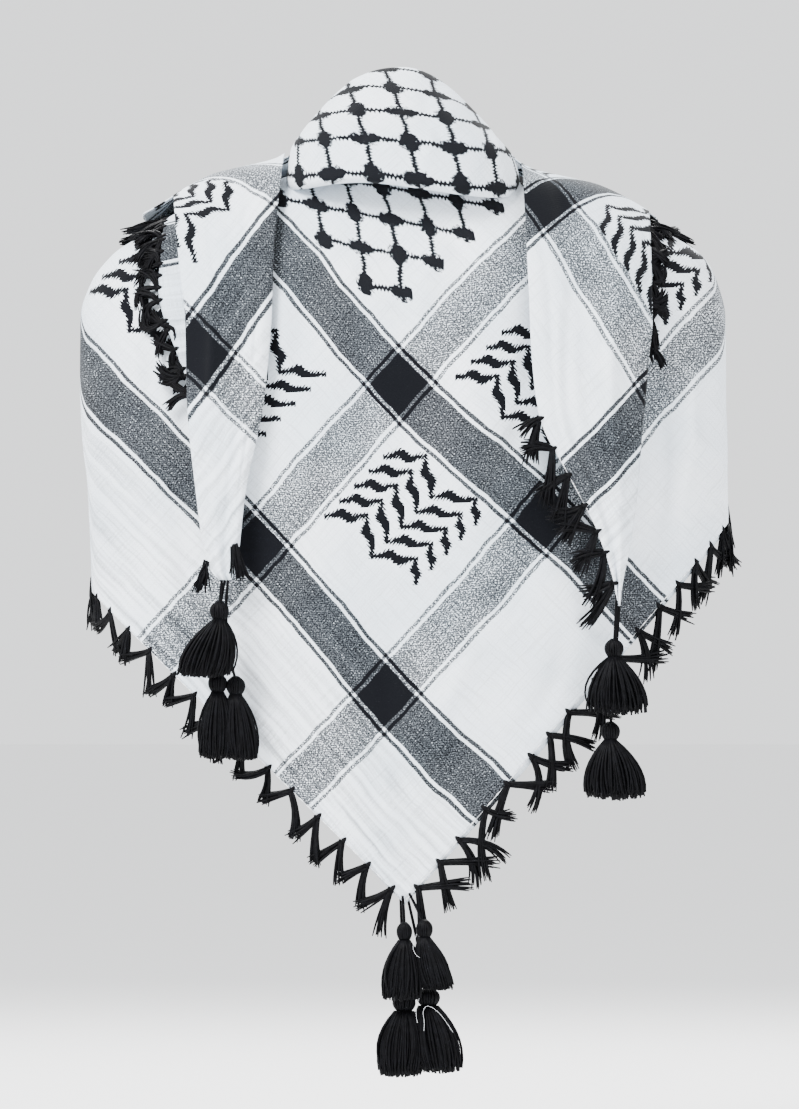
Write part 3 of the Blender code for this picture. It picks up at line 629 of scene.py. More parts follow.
def front_maps(s, t, across, up):
    """The triangle's maps, with each square's leaf rows shifted by the pull of the cloth."""
    cell_s = np.floor((s - CELL_START[0]) / REPEAT)
    cell_t = np.floor((t - CELL_START[1]) / REPEAT)
    shift = np.zeros(s.shape + (2,))
    shift[(cell_s > 1) | (cell_t > 2)] = OUTER_SHIFT
    for (row, column), move in LEAF_SHIFTS.items():
        shift[(cell_s == row) & (cell_t == column)] = move
    net = solved(NET_ACROSS, NET_UP, across - NET_LOWEST[0], up - NET_LOWEST[1])
    return {"weave": (s, t), "leaf": (s + shift[..., 0], t + shift[..., 1]), "net": net}


def lay_wing(across, up):
    """As the front, but slid so that the wing's lower edge stays the square's hem."""
    s, t = laid(FRONT_LAY, across, up)
    if across[0, -1] < 0:
        s = s - (s[-1] - s[-1, 0])
    else:
        t = t - (t[-1] - t[-1, 0])
    return front_maps(s, t, across, up)


def lay_cowl(across, up):
    """The cowl is the middle of the square, so only the net shows there."""
    column = (across + COWL_LEAN[0] * up - COWL_KNOT[0]) / COWL_PITCH[0]
    row = (up + COWL_LEAN[1] * across - COWL_KNOT[1]) / COWL_PITCH[1] + COWL_ROW
    half = SIDE / 2
    weave = (half + (up + across) * math.sqrt(0.5), half + (up - across) * math.sqrt(0.5))
    return {"weave": weave, "leaf": (half + 0 * across, half + 0 * across), "net": (column, row)}


# ---- Materials.


class Term:
    """A number in a material. Arithmetic on it adds Math nodes."""

    def __init__(self, tree, socket):
        self.tree, self.socket = tree, socket

    def math(self, operation, *others, clamp=False):
        node = self.tree.nodes.new("ShaderNodeMath")
        node.operation = operation
        node.use_clamp = clamp
        for slot, value in zip(node.inputs, (self,) + others):
            if isinstance(value, Term):
                self.tree.links.new(value.socket, slot)
            else:
                slot.default_value = value
        return Term(self.tree, node.outputs[0])

    def __add__(self, other):
        return self.math("ADD", other)

    def __sub__(self, other):
        return self.math("SUBTRACT", other)

    def __mul__(self, other):
        return self.math("MULTIPLY", other)

    def __truediv__(self, other):
        return self.math("DIVIDE", other)

    def abs(self):
        return self.math("ABSOLUTE")

    def below(self, limit, soft):
        """1 where this is below the limit and 0 above it, over a soft edge."""
        if isinstance(limit, Term):
            return ((limit - self) / soft).math("ADD", 0.5, clamp=True)
        return self.math("MULTIPLY_ADD", -1 / soft, limit / soft + 0.5, clamp=True)

    def above(self, limit, soft):
        return self.math("MULTIPLY_ADD", 1 / soft, 0.5 - limit / soft, clamp=True)

    def either(self, other):
        return self.math("MAXIMUM", other)

    def zigzag(self, period):
        """A triangle wave of this, from -1 to 1."""
        return self.math("PINGPONG", period / 2) * (4 / period) - 1.0


def added(tree, kind, settings=(), **inputs):
    """A new node with its settings, and each named input linked to a socket or set to a value."""
    node = tree.nodes.new("ShaderNode" + kind)
    for name, value in settings:
        setattr(node, name, value)
    for name, value in inputs.items():
        if isinstance(value, bpy.types.NodeSocket):
            tree.links.new(value, node.inputs[name])
        else:
            node.inputs[name].default_value = value
    return node


def noise(tree, vector, scale, detail=2.0, dimensions="2D"):
    settings = [("noise_dimensions", dimensions)]
    made = added(tree, "TexNoise", settings, Vector=vector, Scale=scale, Detail=detail)
    return Term(tree, made.outputs["Fac"])


def ramp(tree, factor, *stops):
    """A colour for the factor, between stops of a position and a colour each."""
    node = added(tree, "ValToRGB", Fac=factor)
    for _ in stops[2:]:
        node.color_ramp.elements.new(0.5)
    for element, (at, colour) in zip(node.color_ramp.elements, stops):
        element.position = at
        element.color = (*colour, 1)
    return node.outputs[0]


def surface(name, roughness, specular=0.5, sheen=0.0, sheen_roughness=0.5):
    """A new material with its node tree and its shader."""
    made = bpy.data.materials.new(name)
    made.use_nodes = True
    shader = made.node_tree.nodes["Principled BSDF"]
    shader.inputs["Roughness"].default_value = roughness
    shader.inputs["Specular IOR Level"].default_value = specular
    shader.inputs["Sheen Weight"].default_value = sheen
    shader.inputs["Sheen Roughness"].default_value = sheen_roughness
    return made, made.node_tree, shader


def finished(tree, shader, colour, height=None, strength=0.0, distance=0.0):
    """Links a colour to a shader, and a height as a bump of some strength and distance."""
    tree.links.new(colour, shader.inputs["Base Color"])
    if height:
        bump = added(tree, "Bump", Strength=strength, Distance=distance, Height=height.socket)
        tree.links.new(bump.outputs[0], shader.inputs["Normal"])


BAND_HALF = 0.0161  # half width of a band's broad middle
GAP_END = 0.0187
LINE_END = 0.0213  # outer edge of the thin line beside a band
BAND_SOFT = 0.0005
WARP_BANDS = (0.104, 0.273)
WEFT_BANDS = (0.117, 0.265)
# How black a warp band and a weft band are: where both cross, all their threads are.
WARP_SHARE = 0.66
WEFT_SHARE = 0.39
INK = (0.0026, 0.003, 0.0044)
THIRD_BLACK = (0.104, 0.115, 0.126)  # the cloth's colour where a third of its threads are black
MOSTLY_BLACK = (0.035, 0.038, 0.043)
SHADED = (0.82, 0.86, 0.885, 1)  # what the cloth's colour is multiplied by in its faint clouds
WAVER = 0.0042  # how far the bands stray from straight lines
TWILL_PITCH = 0.00225
# How much each unevenness of the threads shows where black and white ones mix, and then on all the cloth.
SPECKLE, TWILL, SLUB, UNEVEN = 1.55, 0.11, 0.34, 0.2
ALL_SPECKLE, ALL_SLUB, ALL_STREAK, ALL_GREY = 0.09, 0.24, 0.52, 0.016

# One row of leaves from the point (0, 0), in (p, q): a level leaf, one down, a level one and one more down.
Leaf = namedtuple("Leaf", "p q length level thickness slope")
LEAVES = (
    Leaf(0.0, 0.0, 0.032, True, 0.0027, -0.02),
    Leaf(0.0317, 0.0, 0.031, False, 0.0031, 0.1),
    Leaf(0.0352, -0.03, 0.0345, True, 0.0027, -0.09),
    Leaf(0.0685, -0.0335, 0.018, False, 0.0021, 0.0),
)
LONG_LAST = 0.037  # length of the last leaf on the tails
ROW_START = (0.2184, 0.2364)  # (s, t) of the first leaf row in the corner square
ROW_STEP = (-0.01183, -0.01036)  # (p, q) from one leaf row to the next
ROWS = 5
FULL_LEAF = 0.033
LEAF_SWING = 0.11  # how far a leaf waves to each side, as a share of its length
LEAF_SWELL = 0.24  # half the swollen part of a leaf, as a share of its length
STITCH = 0.0027  # length of a stitch along a leaf
STREAK_END = 0.16  # how far the uneven rows reach from the first hem

# The net, in steps from knot to knot: half a knot's length and width and how the upright ones differ, half
# the width of the level and the upright lines, how far the net reaches past its last knots, and its soft edge.
KNOT_LENGTH, KNOT_WIDTH = 0.38, 0.19
UPRIGHT_LENGTH, UPRIGHT_WIDTH = -0.06, 0.03
LEVEL_LINE, UPRIGHT_LINE = 0.061, 0.063
NET_REACH = 0.27
NET_SOFT = 0.02


def band(distance, centres):
    """1 on a band's middle and on its thin lines, and how far its centre is, for the distance from a hem."""
    near = (distance - centres[0]).abs().math("MINIMUM", (distance - centres[1]).abs())
    middle = near.below(BAND_HALF, BAND_SOFT)
    line = near.above(GAP_END, BAND_SOFT) * near.below(LINE_END, BAND_SOFT)
    return middle.either(line), near


def net(i, j, jitter):
    """The fishnet: level and upright knots by turns, joined by jagged lines, with a stepped lower edge."""
    near_i, near_j = i.math("ROUND"), j.math("ROUND")
    upright = (near_i + near_j).math("PINGPONG", 1.0)
    a, b = i - near_i, j - near_j
    along = a + (b - a) * upright
    off = b + (a - b) * upright
    tooth = (along + off * 0.8).zigzag(0.062)
    length = upright * UPRIGHT_LENGTH + KNOT_LENGTH
    round_end = (along / length).abs().math("POWER", 3.5) * -1.0 + 1.0
    swell = round_end * (upright * UPRIGHT_WIDTH + KNOT_WIDTH)
    knot = off.abs().below(swell + jitter * 0.24 + tooth * 0.034, NET_SOFT)
    level_line = (b + a.zigzag(0.09) * 0.035).abs().below(jitter * 0.11 + LEVEL_LINE, NET_SOFT)
    cross_line = (a + b.zigzag(0.084) * 0.035).abs().below(jitter * 0.11 + UPRIGHT_LINE, NET_SOFT)
    right = (i - NET_REACH).math("CEIL")
    left = (i * -1.0 - NET_REACH).math("CEIL") - 1.0
    inside = (j - right.either(left).math("MAXIMUM", 0.0)).above(-NET_REACH, NET_SOFT)
    return knot.either(level_line).either(cross_line) * inside * (tooth * 0.004 + 0.997)


def leaf_rows(p, q, jitter, last_row, no_last, last_length):
    """Nested rows of leaves sewn in slanting stitches. last_row is the last row's number, counted from 0."""
    mask = None
    for leaf in LEAVES:
        last = leaf is LEAVES[-1]
        length = last_length if last else leaf.length
        across, step = (q - leaf.q, ROW_STEP[1]) if leaf.level else (p - leaf.p, ROW_STEP[0])
        row = (across / step).math("ROUND").math("MAXIMUM", 0.0).math("MINIMUM", last_row)
        x = (p - leaf.p) - row * ROW_STEP[0]
        y = (q - leaf.q) - row * ROW_STEP[1]
        along, off = (x, y) if leaf.level else (y * -1.0, x)
        share = along / length
        bell = ((share - 0.5) / LEAF_SWELL).math("POWER", 2.0).math("MULTIPLY", -1.0).math("EXPONENT")
        swing = (last_length if last else FULL_LEAF) * (LEAF_SWING if leaf.level else -LEAF_SWING)
        wave = (share * (2 * math.pi)).math("SINE") * bell * swing
        off = off - along * leaf.slope - wave
        stitch = (along - off * 0.9).zigzag(STITCH)
        half = bell * leaf.thickness + stitch * 0.0011 + jitter * 0.0036 + 0.0017
        inside = off.abs().below(half, 0.0004) * (share - 0.5).abs().below(0.53, 0.02)
        if last:
            inside = inside * no_last
        mask = inside if mask is None else mask.either(inside)
    return mask


def uv(tree, name):
    """One of the cloth's maps: its vector, and the two numbers in it."""
    place = added(tree, "UVMap", [("uv_map", name)]).outputs[0]
    split = added(tree, "SeparateXYZ", Vector=place)
    return place, Term(tree, split.outputs[0]), Term(tree, split.outputs[1])


def from_hem(distance):
    """The distance from the nearer of two opposite hems."""
    return (distance - SIDE / 2).abs().math("MULTIPLY_ADD", -1.0, SIDE / 2)


def stretched_noise(tree, one, other):
    """Noise of two numbers."""
    together = added(tree, "CombineXYZ", X=one.socket, Y=other.socket)
    return noise(tree, together.outputs[0], 1.0)


def slubs(tree, s, t):
    """Faint uneven threads along the cloth, both ways."""
    one = stretched_noise(tree, s * 22.0, t * 760.0)
    return one.either(stretched_noise(tree, t * 22.0, s * 760.0))


def streaks(tree, s, t):
    """Loosely beaten rows along the first hem, which fade away from it."""
    fade = s.math("MULTIPLY_ADD", -1 / STREAK_END, 1.0, clamp=True)
    return (stretched_noise(tree, s * 230.0, t * 9.0) - 0.42) * fade


def stitched(tree, place, off_bands, last_length):
    """How much of the cloth the black stitches of the net and the leaf rows cover."""
    net_place, i, j = uv(tree, "net")
    drift = noise(tree, net_place, 1.6, 1.0) - 0.5
    ragged = noise(tree, net_place, 11.0) - 0.5
    knotted = net(i + drift * 0.1, j + drift * 0.08, ragged)
    _, leaf_s, leaf_t = uv(tree, "leaf")
    leaf_s, leaf_t = from_hem(leaf_s), from_hem(leaf_t)
    cell_s = ((leaf_s - CELL_START[0]) / REPEAT).math("FLOOR")
    cell_t = ((leaf_t - CELL_START[1]) / REPEAT).math("FLOOR")
    in_cells = cell_s.math("MINIMUM", cell_t).abs().below(0.5, 0.1)
    local_s = leaf_s - cell_s * REPEAT - ROW_START[0]
    local_t = leaf_t - cell_t * REPEAT - ROW_START[1]
    p, q = (local_s - local_t) * math.sqrt(0.5), (local_s + local_t) * math.sqrt(0.5)
    last_row = cell_s.math("MINIMUM", 1.0).math("MULTIPLY_ADD", -1.0, ROWS - 1.0)
    no_last = (cell_t - 1.0).abs().above(0.5, 0.1)
    jitter = noise(tree, place, 330.0) - 0.5
    leaves = leaf_rows(p, q, jitter, last_row, no_last, last_length)
    return knotted.either(leaves * in_cells * off_bands)


def cloth_material(name, tint, last_length=LEAVES[-1].length):
    """White cotton with black woven bands, net and leaf rows, laid out by the cloth's maps."""
    made, tree, shader = surface(name, 0.9, 0.06, 0.03)
    place, s, t = uv(tree, "weave")
    s = s + (noise(tree, place, 30.0) - 0.5) * WAVER
    t = t + (noise(tree, place, 37.0) - 0.5) * WAVER
    warp, from_warp = band(from_hem(s), WARP_BANDS)
    weft, from_weft = band(from_hem(t), WEFT_BANDS)
    black = warp * WARP_SHARE + weft * WEFT_SHARE
    speckle = noise(tree, place, 900.0, 1.0) - 0.5
    twill = ((s + t) * (2 * math.pi / TWILL_PITCH)).math("SINE")
    slub = slubs(tree, s, t) - 0.55
    uneven = noise(tree, place, 30.0, 3.0) - 0.5
    threads = speckle * SPECKLE + twill * TWILL + slub * SLUB + uneven * UNEVEN
    mixed = black * (black * -1.0 + 1.0) * 4.0
    woven = black + threads * mixed + speckle * ALL_SPECKLE + slub * ALL_SLUB
    woven = woven + streaks(tree, s, t) * ALL_STREAK + ALL_GREY
    stops = ((0.0, tint), (1 / 3, THIRD_BLACK), (2 / 3, MOSTLY_BLACK), (1.0, INK))
    dyed = ramp(tree, woven.socket, *stops)
    off_bands = from_warp.above(LINE_END, BAND_SOFT) * from_weft.above(LINE_END, BAND_SOFT)
    inked = stitched(tree, place, off_bands, last_length)
    rgba = [("data_type", "RGBA")]
    sewn = added(tree, "Mix", rgba, Factor=inked.socket, A=dyed, B=(*INK, 1))
    clouds = noise(tree, place, 11.0, 3.0).math("MULTIPLY_ADD", 3.2, -1.1, clamp=True)
    multiply = rgba + [("blend_type", "MULTIPLY")]
    toned = added(tree, "Mix", multiply, Factor=clouds.socket, A=sewn.outputs["Result"], B=SHADED)
    relief = speckle * 0.5 + twill * 0.12 + slub * 0.5 + inked * 0.9
    finished(tree, shader, toned.outputs["Result"], relief, 0.45, 0.0004)
    return made


def yarn_material():
    """Matte black cotton yarn, a little uneven in shade and twisted."""
    made, tree, shader = surface("black_yarn_look", 0.55, 0.06, 0.005, 0.4)
    place = added(tree, "TexCoord").outputs["Object"]
    shade = noise(tree, place, 240.0, 3.0, "3D")
    dyed = ramp(tree, shade.socket, (0.3, (0.0006, 0.0006, 0.0009)), (0.75, (0.003, 0.0031, 0.0042)))
    finished(tree, shader, dyed, noise(tree, place, 1400.0, 2.0, "3D"), 0.5, 0.0003)
    return made


def plain_material(name, colour, roughness):
    """A matt surface with a faint unevenness, for the floor and the hem thread."""
    made, tree, shader = surface(name, roughness)
    shade = added(tree, "TexNoise", Scale=6.0).outputs["Fac"]
    finished(tree, shader, ramp(tree, shade, (0.0, [0.97 * part for part in colour]), (1.0, colour)))
    return made


# ---- Building pieces.

CLOTH = 0.0009  # thickness of the woven cloth
scarf = bpy.data.collections.new("keffiyeh_look")
bpy.context.scene.collection.children.link(scarf)


def add(name, points, faces, finish):
    """A smooth mesh with one material."""
    mesh = bpy.data.meshes.new(name)
    mesh.from_pydata(points.reshape(-1, 3).tolist(), [], faces)
    mesh.shade_smooth()
    mesh.materials.append(finish)
    obj = bpy.data.objects.new(name, mesh)
    scarf.objects.link(obj)
    return obj


def settle(obj, nodes, slot):
    """Puts a piece on the scarf's one body, in place of some nodes."""
    if nodes:
        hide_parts(*nodes)
    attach(obj, "root")
    return obj


def grid_faces(rows, columns):
    """The four-sided faces of a regular grid of points."""
    index = np.arange(rows * columns).reshape(rows, columns)
    faces = np.stack([index[:-1, :-1], index[:-1, 1:], index[1:, 1:], index[1:, :-1]], axis=-1)
    return faces.reshape(-1, 4)


def spread(shape, across, along):
    """A shape's points and flat places on a regular grid."""
    u, v = np.meshgrid(np.linspace(0, 1, across + 1), np.linspace(0, 1, along + 1))
    return shape(u, v)


def shell(node, shape, lay, across, along, finish):
    """The visible cloth of one stretch, in place of its solid."""
    points, flat = spread(shape, across, along)
    faces = grid_faces(along + 1, across + 1)
    obj = add(node + "_cloth", points, faces.tolist(), finish)
    for name, pair in lay(*flat).items():
        places = np.stack(pair, axis=-1).reshape(-1, 2)
        layer = obj.data.uv_layers.new(name=name)
        layer.data.foreach_set("uv", places[faces.reshape(-1)].ravel())
    wall = obj.modifiers.new("thickness", "SOLIDIFY")
    wall.thickness = CLOTH
    wall.offset = 0
    return settle(obj, [node], "inner_cotton" if "under" in node else "cotton")


def cut_of(shape, across, along):
    """The width, length and area that a stretch of cloth has when it is spread flat."""
    way, up = spread(shape, across, along)[1]
    flat = np.stack([way, up], axis=-1)
    one, two = flat[1:, 1:] - flat[:-1, :-1], flat[1:, :-1] - flat[:-1, 1:]
    area = 0.5 * np.sum(np.abs(one[..., 0] * two[..., 1] - one[..., 1] * two[..., 0]))
    return float(np.ptp(way)), float(np.ptp(up)), float(area)


AWAY = np.array((0.35, 0.86, 0.37))  # a way that no yarn runs


def unit(vectors):
    """The vectors at length 1."""
    return vectors / (np.linalg.norm(vectors, axis=-1, keepdims=True) + 1e-12)


def tubes(paths, radii, sides):
    """Points and faces of many round yarns: each path is (n, 3) and each radius a number for each point."""
    all_points, all_faces, base = [], [], 0
    angles = np.arange(sides)[:, None] * 2 * np.pi / sides
    for path, radius in zip(paths, radii):
        n = len(path)
        along = unit(np.gradient(path, axis=0))
        one = unit(np.cross(along, AWAY))
        two = np.cross(along, one)
        ring = one[:, None] * np.cos(angles) + two[:, None] * np.sin(angles)
        all_points.append((path[:, None] + ring * np.broadcast_to(radius, n)[:, None, None]).reshape(-1, 3))
        index = base + np.arange(n * sides).reshape(n, sides)
        turned = np.roll(index, -1, axis=1)
        faces = np.stack([index[:-1], turned[:-1], turned[1:], index[1:]], axis=-1).reshape(-1, 4)
        all_faces += faces.tolist() + [index[0][::-1].tolist(), index[-1].tolist()]
        base += n * sides
    return np.concatenate(all_points), all_faces


def yarns(name, nodes, paths, radii, sides, finish, slot="black_yarn"):
    """A piece made of many yarns, in place of some nodes."""
    return settle(add(name, *tubes(paths, radii, sides), finish), nodes, slot)


def edge_line(shape, edge):
    """The knots' places on an edge, the outward way and the tangent at each, and the edge's own points."""
    share = np.linspace(0, 1, 401)
    u = edge.start[0] + (edge.end[0] - edge.start[0]) * share
    v = edge.start[1] + (edge.end[1] - edge.start[1]) * share
    line = at_places(shape, u, v)
    inner = at_places(shape, u + edge.inwards[0], v + edge.inwards[1])
    run = np.concatenate([[0], np.cumsum(np.linalg.norm(np.diff(line, axis=0), axis=1))])
    tangent = unit(np.gradient(line, axis=0))
    outward = line - inner
    outward = unit(outward - tangent * np.sum(outward * tangent, axis=1)[:, None])
    knots = max(2, int(run[-1] / edge.knots.spacing))
    want = (np.arange(knots) + 0.5) * run[-1] / knots
    found = []
    for row in (line, outward, tangent):
        found.append(np.stack([np.interp(want, run, row[:, k]) for k in range(3)], axis=1))
    return found, line


def at_places(shape, u, v):
    """A shape's points at a row of places."""
    pair = np.stack([v, v])
    return shape(np.stack([u, u]), pair)[0][0]


def curve(start, end, bow, count):
    """Points from start to end, bowed sideways by the vector bow at the middle."""
    f = np.linspace(0, 1, count)[:, None]
    return start + (end - start) * f + bow * (4 * f * (1 - f))


BUNDLE = 14  # yarns in a bundle
KNOT_LUMP = (0.0007, 0.0015, 0.0021, 0.0022, 0.0018, 0.0012)
HITCH = (0.0008, 0.0013, 0.0014, 0.0013, 0.0008)
YARN_TAPER = (0.0008, 0.001, 0.001, 0.0009, 0.0009, 0.0008, 0.0007, 0.0004)
OUTERMOST = 0.42  # how far past the last knot a fringe's outermost bundles end, as a share of the spacing
# How much a fringe's tangle scatters the ends of its bundles: in their reach, sideways, and all ways.
REACH_SCATTER, SIDE_SCATTER, END_SCATTER = 18, 2.2, 0.6


def meeting_places(edge, points, outward, tangent):
    """Where the loose ends of each two neighbouring bundles meet."""
    spacing, near_out, far_out, tangle = edge.knots[:4]
    found = []
    for k in range(len(points) + 1):
        near = [i for i in (k - 1, k) if 0 <= i < len(points)]
        middle = points[near].mean(axis=0)
        if len(near) == 1:
            middle = middle + tangent[near[0]] * spacing * (-OUTERMOST if k == 0 else OUTERMOST)
        away = unit(outward[near].mean(axis=0) - (0, 0, edge.droop))
        out = near_out + (far_out - near_out) * k / len(points)
        out = out * (1 + REACH_SCATTER * tangle * rng.normal()) + rng.uniform(-0.003, 0.004)
        middle = middle + tangent[near[0]] * rng.normal(0, SIDE_SCATTER * tangle)
        scatter = rng.normal(0, 0.0014 + END_SCATTER * tangle, 3) * (1, 0.3, 1)
        found.append(middle + away * out + scatter)
    return found


def fringe(edge, shape, finish):
    """Knots on the hem, with two flat bundles of yarn from each that fan out to meet their neighbours'."""
    (points, outward, tangent), _ = edge_line(shape, edge)
    knots = edge.knots
    paths, radii = [], []
    meets = meeting_places(edge, points, outward, tangent)
    for i, (point, out, way) in enumerate(zip(points, outward, tangent)):
        point = point + way * rng.normal(0, 0.8 * knots.tangle)
        root = point + out * 0.0012
        normal = np.cross(way, out)
        paths.append(curve(point - out * 0.0034, point + out * 0.003, out * 0, len(KNOT_LUMP)))
        paths.append(curve(root - way * 0.0028, root + way * 0.0028, out * 0.0009, len(HITCH)))
        radii += [KNOT_LUMP, HITCH]
        past = way * knots.cross * knots.spacing
        for end in (meets[i] - past, meets[i + 1] + past):
            leg = unit(end - root)
            across = np.cross(normal, leg)
            sag = across * rng.normal(0, knots.tangle)
            for place in np.linspace(-1, 1, BUNDLE):
                start = root + across * place * 0.0016 + normal * rng.normal(0, 0.0005)
                fan = place * knots.fan + rng.normal(0, 0.0007)
                stop = end + across * fan + leg * rng.uniform(-0.001, 0.0065)
                stop = stop + normal * rng.normal(0, 0.0013)
                bow = sag + across * place * -0.0007 + normal * rng.normal(0, 0.0009)
                paths.append(curve(start, stop, bow, len(YARN_TAPER)))
                radii.append(YARN_TAPER)
    return yarns(edge.name + "_yarn", (edge.name,), paths, radii, 5, finish)


HEAD_HEIGHT = 0.013
HEAD_YARNS = 22
HEAD_CORE = np.array((0.25, 0.55, 0.78, 0.86, 0.88, 0.84, 0.72, 0.58, 0.5))
HEAD_SWELL = np.array((0.2, 0.6, 0.86, 0.95, 0.96, 0.9, 0.76, 0.55))[:, None]
STRANDS = 260
GOLDEN_ANGLE = 2.39996  # from strand to strand, so that they fill the skirt evenly
HEAD_DEPTH, WHIPPING, SKIRT_DEPTH = 0.8, 0.64, 0.45  # shares of the head's and the skirt's width
SKIRT_RISE = 0.13  # how much higher the outer strands end, as a share of the skirt's half width
# How a tassel differs from its solid: how far its cord bows, its head and its skirt lie aside and its head
# is raised, and how much wider its skirt is. Then half its head's width, its skirt's swell and its neck.
Fit = namedtuple(
    "Fit", "cord head skirt raised wider knob full neck", defaults=(0, 0, 0, 0, 0, 0.0066, 0.24, 0.004)
)
FITS = {
    "left_tassel_2": Fit(cord=-0.003, skirt=0.0015, wider=0.0014),
    "left_tassel_3": Fit(cord=-0.004, skirt=-0.0015, wider=0.0014),
    "tip_tassel_1": Fit(knob=0.0052),
    "tip_tassel_2": Fit(knob=0.0056),
    "tip_tassel_3": Fit(0, 0.0068, 0.0085, 0.0085, 0.0014, 0.0082, 0.36, 0.007),
    "tip_tassel_4": Fit(0, -0.001, 0.0052, 0.0085, 0.0014, 0.0082, 0.36, 0.007),
}


def tassel_head(head, neck, knob, paths, radii):
    """A knob bound with yarn, and the whipping round its neck."""
    paths.append(curve(head + (0, 0, 0.0015), neck + (0, 0, 0.001), np.zeros(3), len(HEAD_CORE)))
    radii.append(knob * HEAD_CORE)
    f = np.linspace(0, 1, len(HEAD_SWELL))[:, None]
    for k in range(HEAD_YARNS):
        angle = (k + rng.uniform(-0.2, 0.2)) * 2 * np.pi / HEAD_YARNS
        side = np.array((np.cos(angle), HEAD_DEPTH * np.sin(angle), 0))
        paths.append(head + (0, 0, 0.001) + (neck - head) * f + side * knob * HEAD_SWELL)
        radii.append(0.001)
    for turn in range(4):
        angle = np.linspace(0, 2 * np.pi, 15)
        ring = np.stack([np.cos(angle), HEAD_DEPTH * np.sin(angle), 0 * angle], axis=1) * knob * WHIPPING
        paths.append(neck + (0, 0, 0.0026 - 0.0011 * turn) + ring)
        radii.append(0.0007)


def tassel(row, cloth_y, finish):
    """A cord, a head bound from yarn, and a full skirt of fine strands."""
    fit = FITS.get(row.name, Fit())
    cord = np.array((row.cord_x, cloth_y + row.seat, row.cord_z))
    head = np.array((row.head_x + fit.head, cloth_y + row.depth, row.head_z + fit.raised))
    neck = head - np.array((0, 0, HEAD_HEIGHT))
    end = np.array((row.skirt_x + fit.skirt, cloth_y + row.depth, row.skirt_z))
    half_width = row.half_width + fit.wider
    paths, radii = [], []
    for angle in np.arange(3) * 2 * np.pi / 3:
        side = np.array((np.cos(angle), np.sin(angle), 0)) * 0.0005
        paths.append(curve(cord + side, head + side - (0, 0, 0.002), side * 0.5 + (fit.cord, 0, 0), 11))
        radii.append(0.0007)
    tassel_head(head, neck, fit.knob, paths, radii)
    for k in range(STRANDS):
        reach = math.sqrt((k + 0.5) / STRANDS)
        side = np.array((np.cos(k * GOLDEN_ANGLE), 0, 0)) * reach
        deep = np.array((0, np.sin(k * GOLDEN_ANGLE), 0)) * reach
        start = neck + side * fit.neck + deep * 0.85 * fit.neck + (0, 0, 0.0006)
        stop = neck + (end - neck) * rng.uniform(0.93, 1.06)
        width = half_width * rng.uniform(0.93, 1.05)
        stop = stop + side * width + deep * width * SKIRT_DEPTH + (0, 0, SKIRT_RISE * half_width * reach**2)
        swell = side * half_width * fit.full + deep * half_width * 0.12
        bend = (rng.normal(0, 0.0011), rng.normal(0, 0.0007), 0)
        paths.append(curve(start, stop, swell + bend, 8))
        radii.append(np.linspace(0.0011, 0.0007, 8))
    return yarns(row.name + "_yarn", (row.name,), paths, radii, 4, finish)


# Small tufts of loose yarn by the left tail's tip: place (x, z), length, lean, and how many yarns.
Tuft = namedtuple("Tuft", "x z length lean yarns")
TUFTS = (
    Tuft(-0.146, -0.244, 0.021, -0.006, 26),
    Tuft(-0.124, -0.238, 0.024, 0.004, 32),
)


def tufts(shape, finish):
    """Loose yarn that hangs from the hem beside the left tail's tip."""
    paths, radii = [], []
    rows = spread(shape, 8, 40)[0]
    for tuft in TUFTS:
        nearest = np.argmin(np.hypot(rows[..., 0] - tuft.x, rows[..., 2] - tuft.z))
        root = rows.reshape(-1, 3)[nearest] - (0, 0.0016, 0)
        for _ in range(tuft.yarns):
            start = root + rng.normal(0, 0.0012, 3) * (1, 0.4, 1)
            stop = root + (tuft.lean + rng.normal(0, 0.0036), rng.normal(-0.001, 0.001), 0)
            stop = stop - (0, 0, tuft.length * rng.uniform(0.75, 1.08))
            paths.append(curve(start, stop, rng.normal(0, 0.0009, 3), 6))
            radii.append(np.linspace(0.0009, 0.0005, 6))
    return yarns("left_tail_tufts", (), paths, radii, 5, finish)


# Loose white threads over the lowest corner's tassels: x and z along each, and how far in front it hangs.
THREADS = (
    ((0.038, 0.0325, 0.0278, 0.0221, 0.0173, 0.0146, 0.0161, 0.0155),
     (-0.5981, -0.5895, -0.5831, -0.5784, -0.5768, -0.5813, -0.5895, -0.5968), 0.0062),
    ((0.0128, 0.0098, 0.0098, 0.0109), (-0.57, -0.5775, -0.585, -0.5906), 0.0062),
    ((0.0105, 0.0068, 0.0098, 0.0128), (-0.522, -0.5333, -0.5393, -0.5408), 0.0175),
)


def softened(values):
    """Eight values for each one given, smoothed by a running mean."""
    along = np.linspace(0, len(values) - 1, 8 * len(values))
    padded = np.pad(np.interp(along, range(len(values)), values), 4, "edge")
    return np.convolve(padded, np.ones(9) / 9, "valid")


def stray_threads(cloth_y, finish):
    """The loose threads, in front of the lowest corner's cloth."""
    paths = [joined(softened(x), cloth_y - before, softened(z)) for x, z, before in THREADS]
    return yarns("stray_threads", (), paths, [0.0001] * len(paths), 5, finish, "cotton")


def hem(edge, shape, finish):
    """The rolled hem along a fringed edge, a little lumpy where the knots pull it."""
    (points, _, _), line = edge_line(shape, edge)
    line = line[::2]
    nearest = np.min(np.linalg.norm(line[:, None] - points[None], axis=-1), axis=1)
    pulled = np.exp(-((nearest / 0.004) ** 2))
    radius = 0.0005 + 0.00012 * np.sin(np.arange(len(line)) * 1.9) - 0.0002 * pulled
    slot = "black_yarn" if finish is yarn else "cotton"
    return yarns(edge.name.replace("fringe", "hem"), (), [line], [radius], 8, finish, slot)


# ---- The scarf.

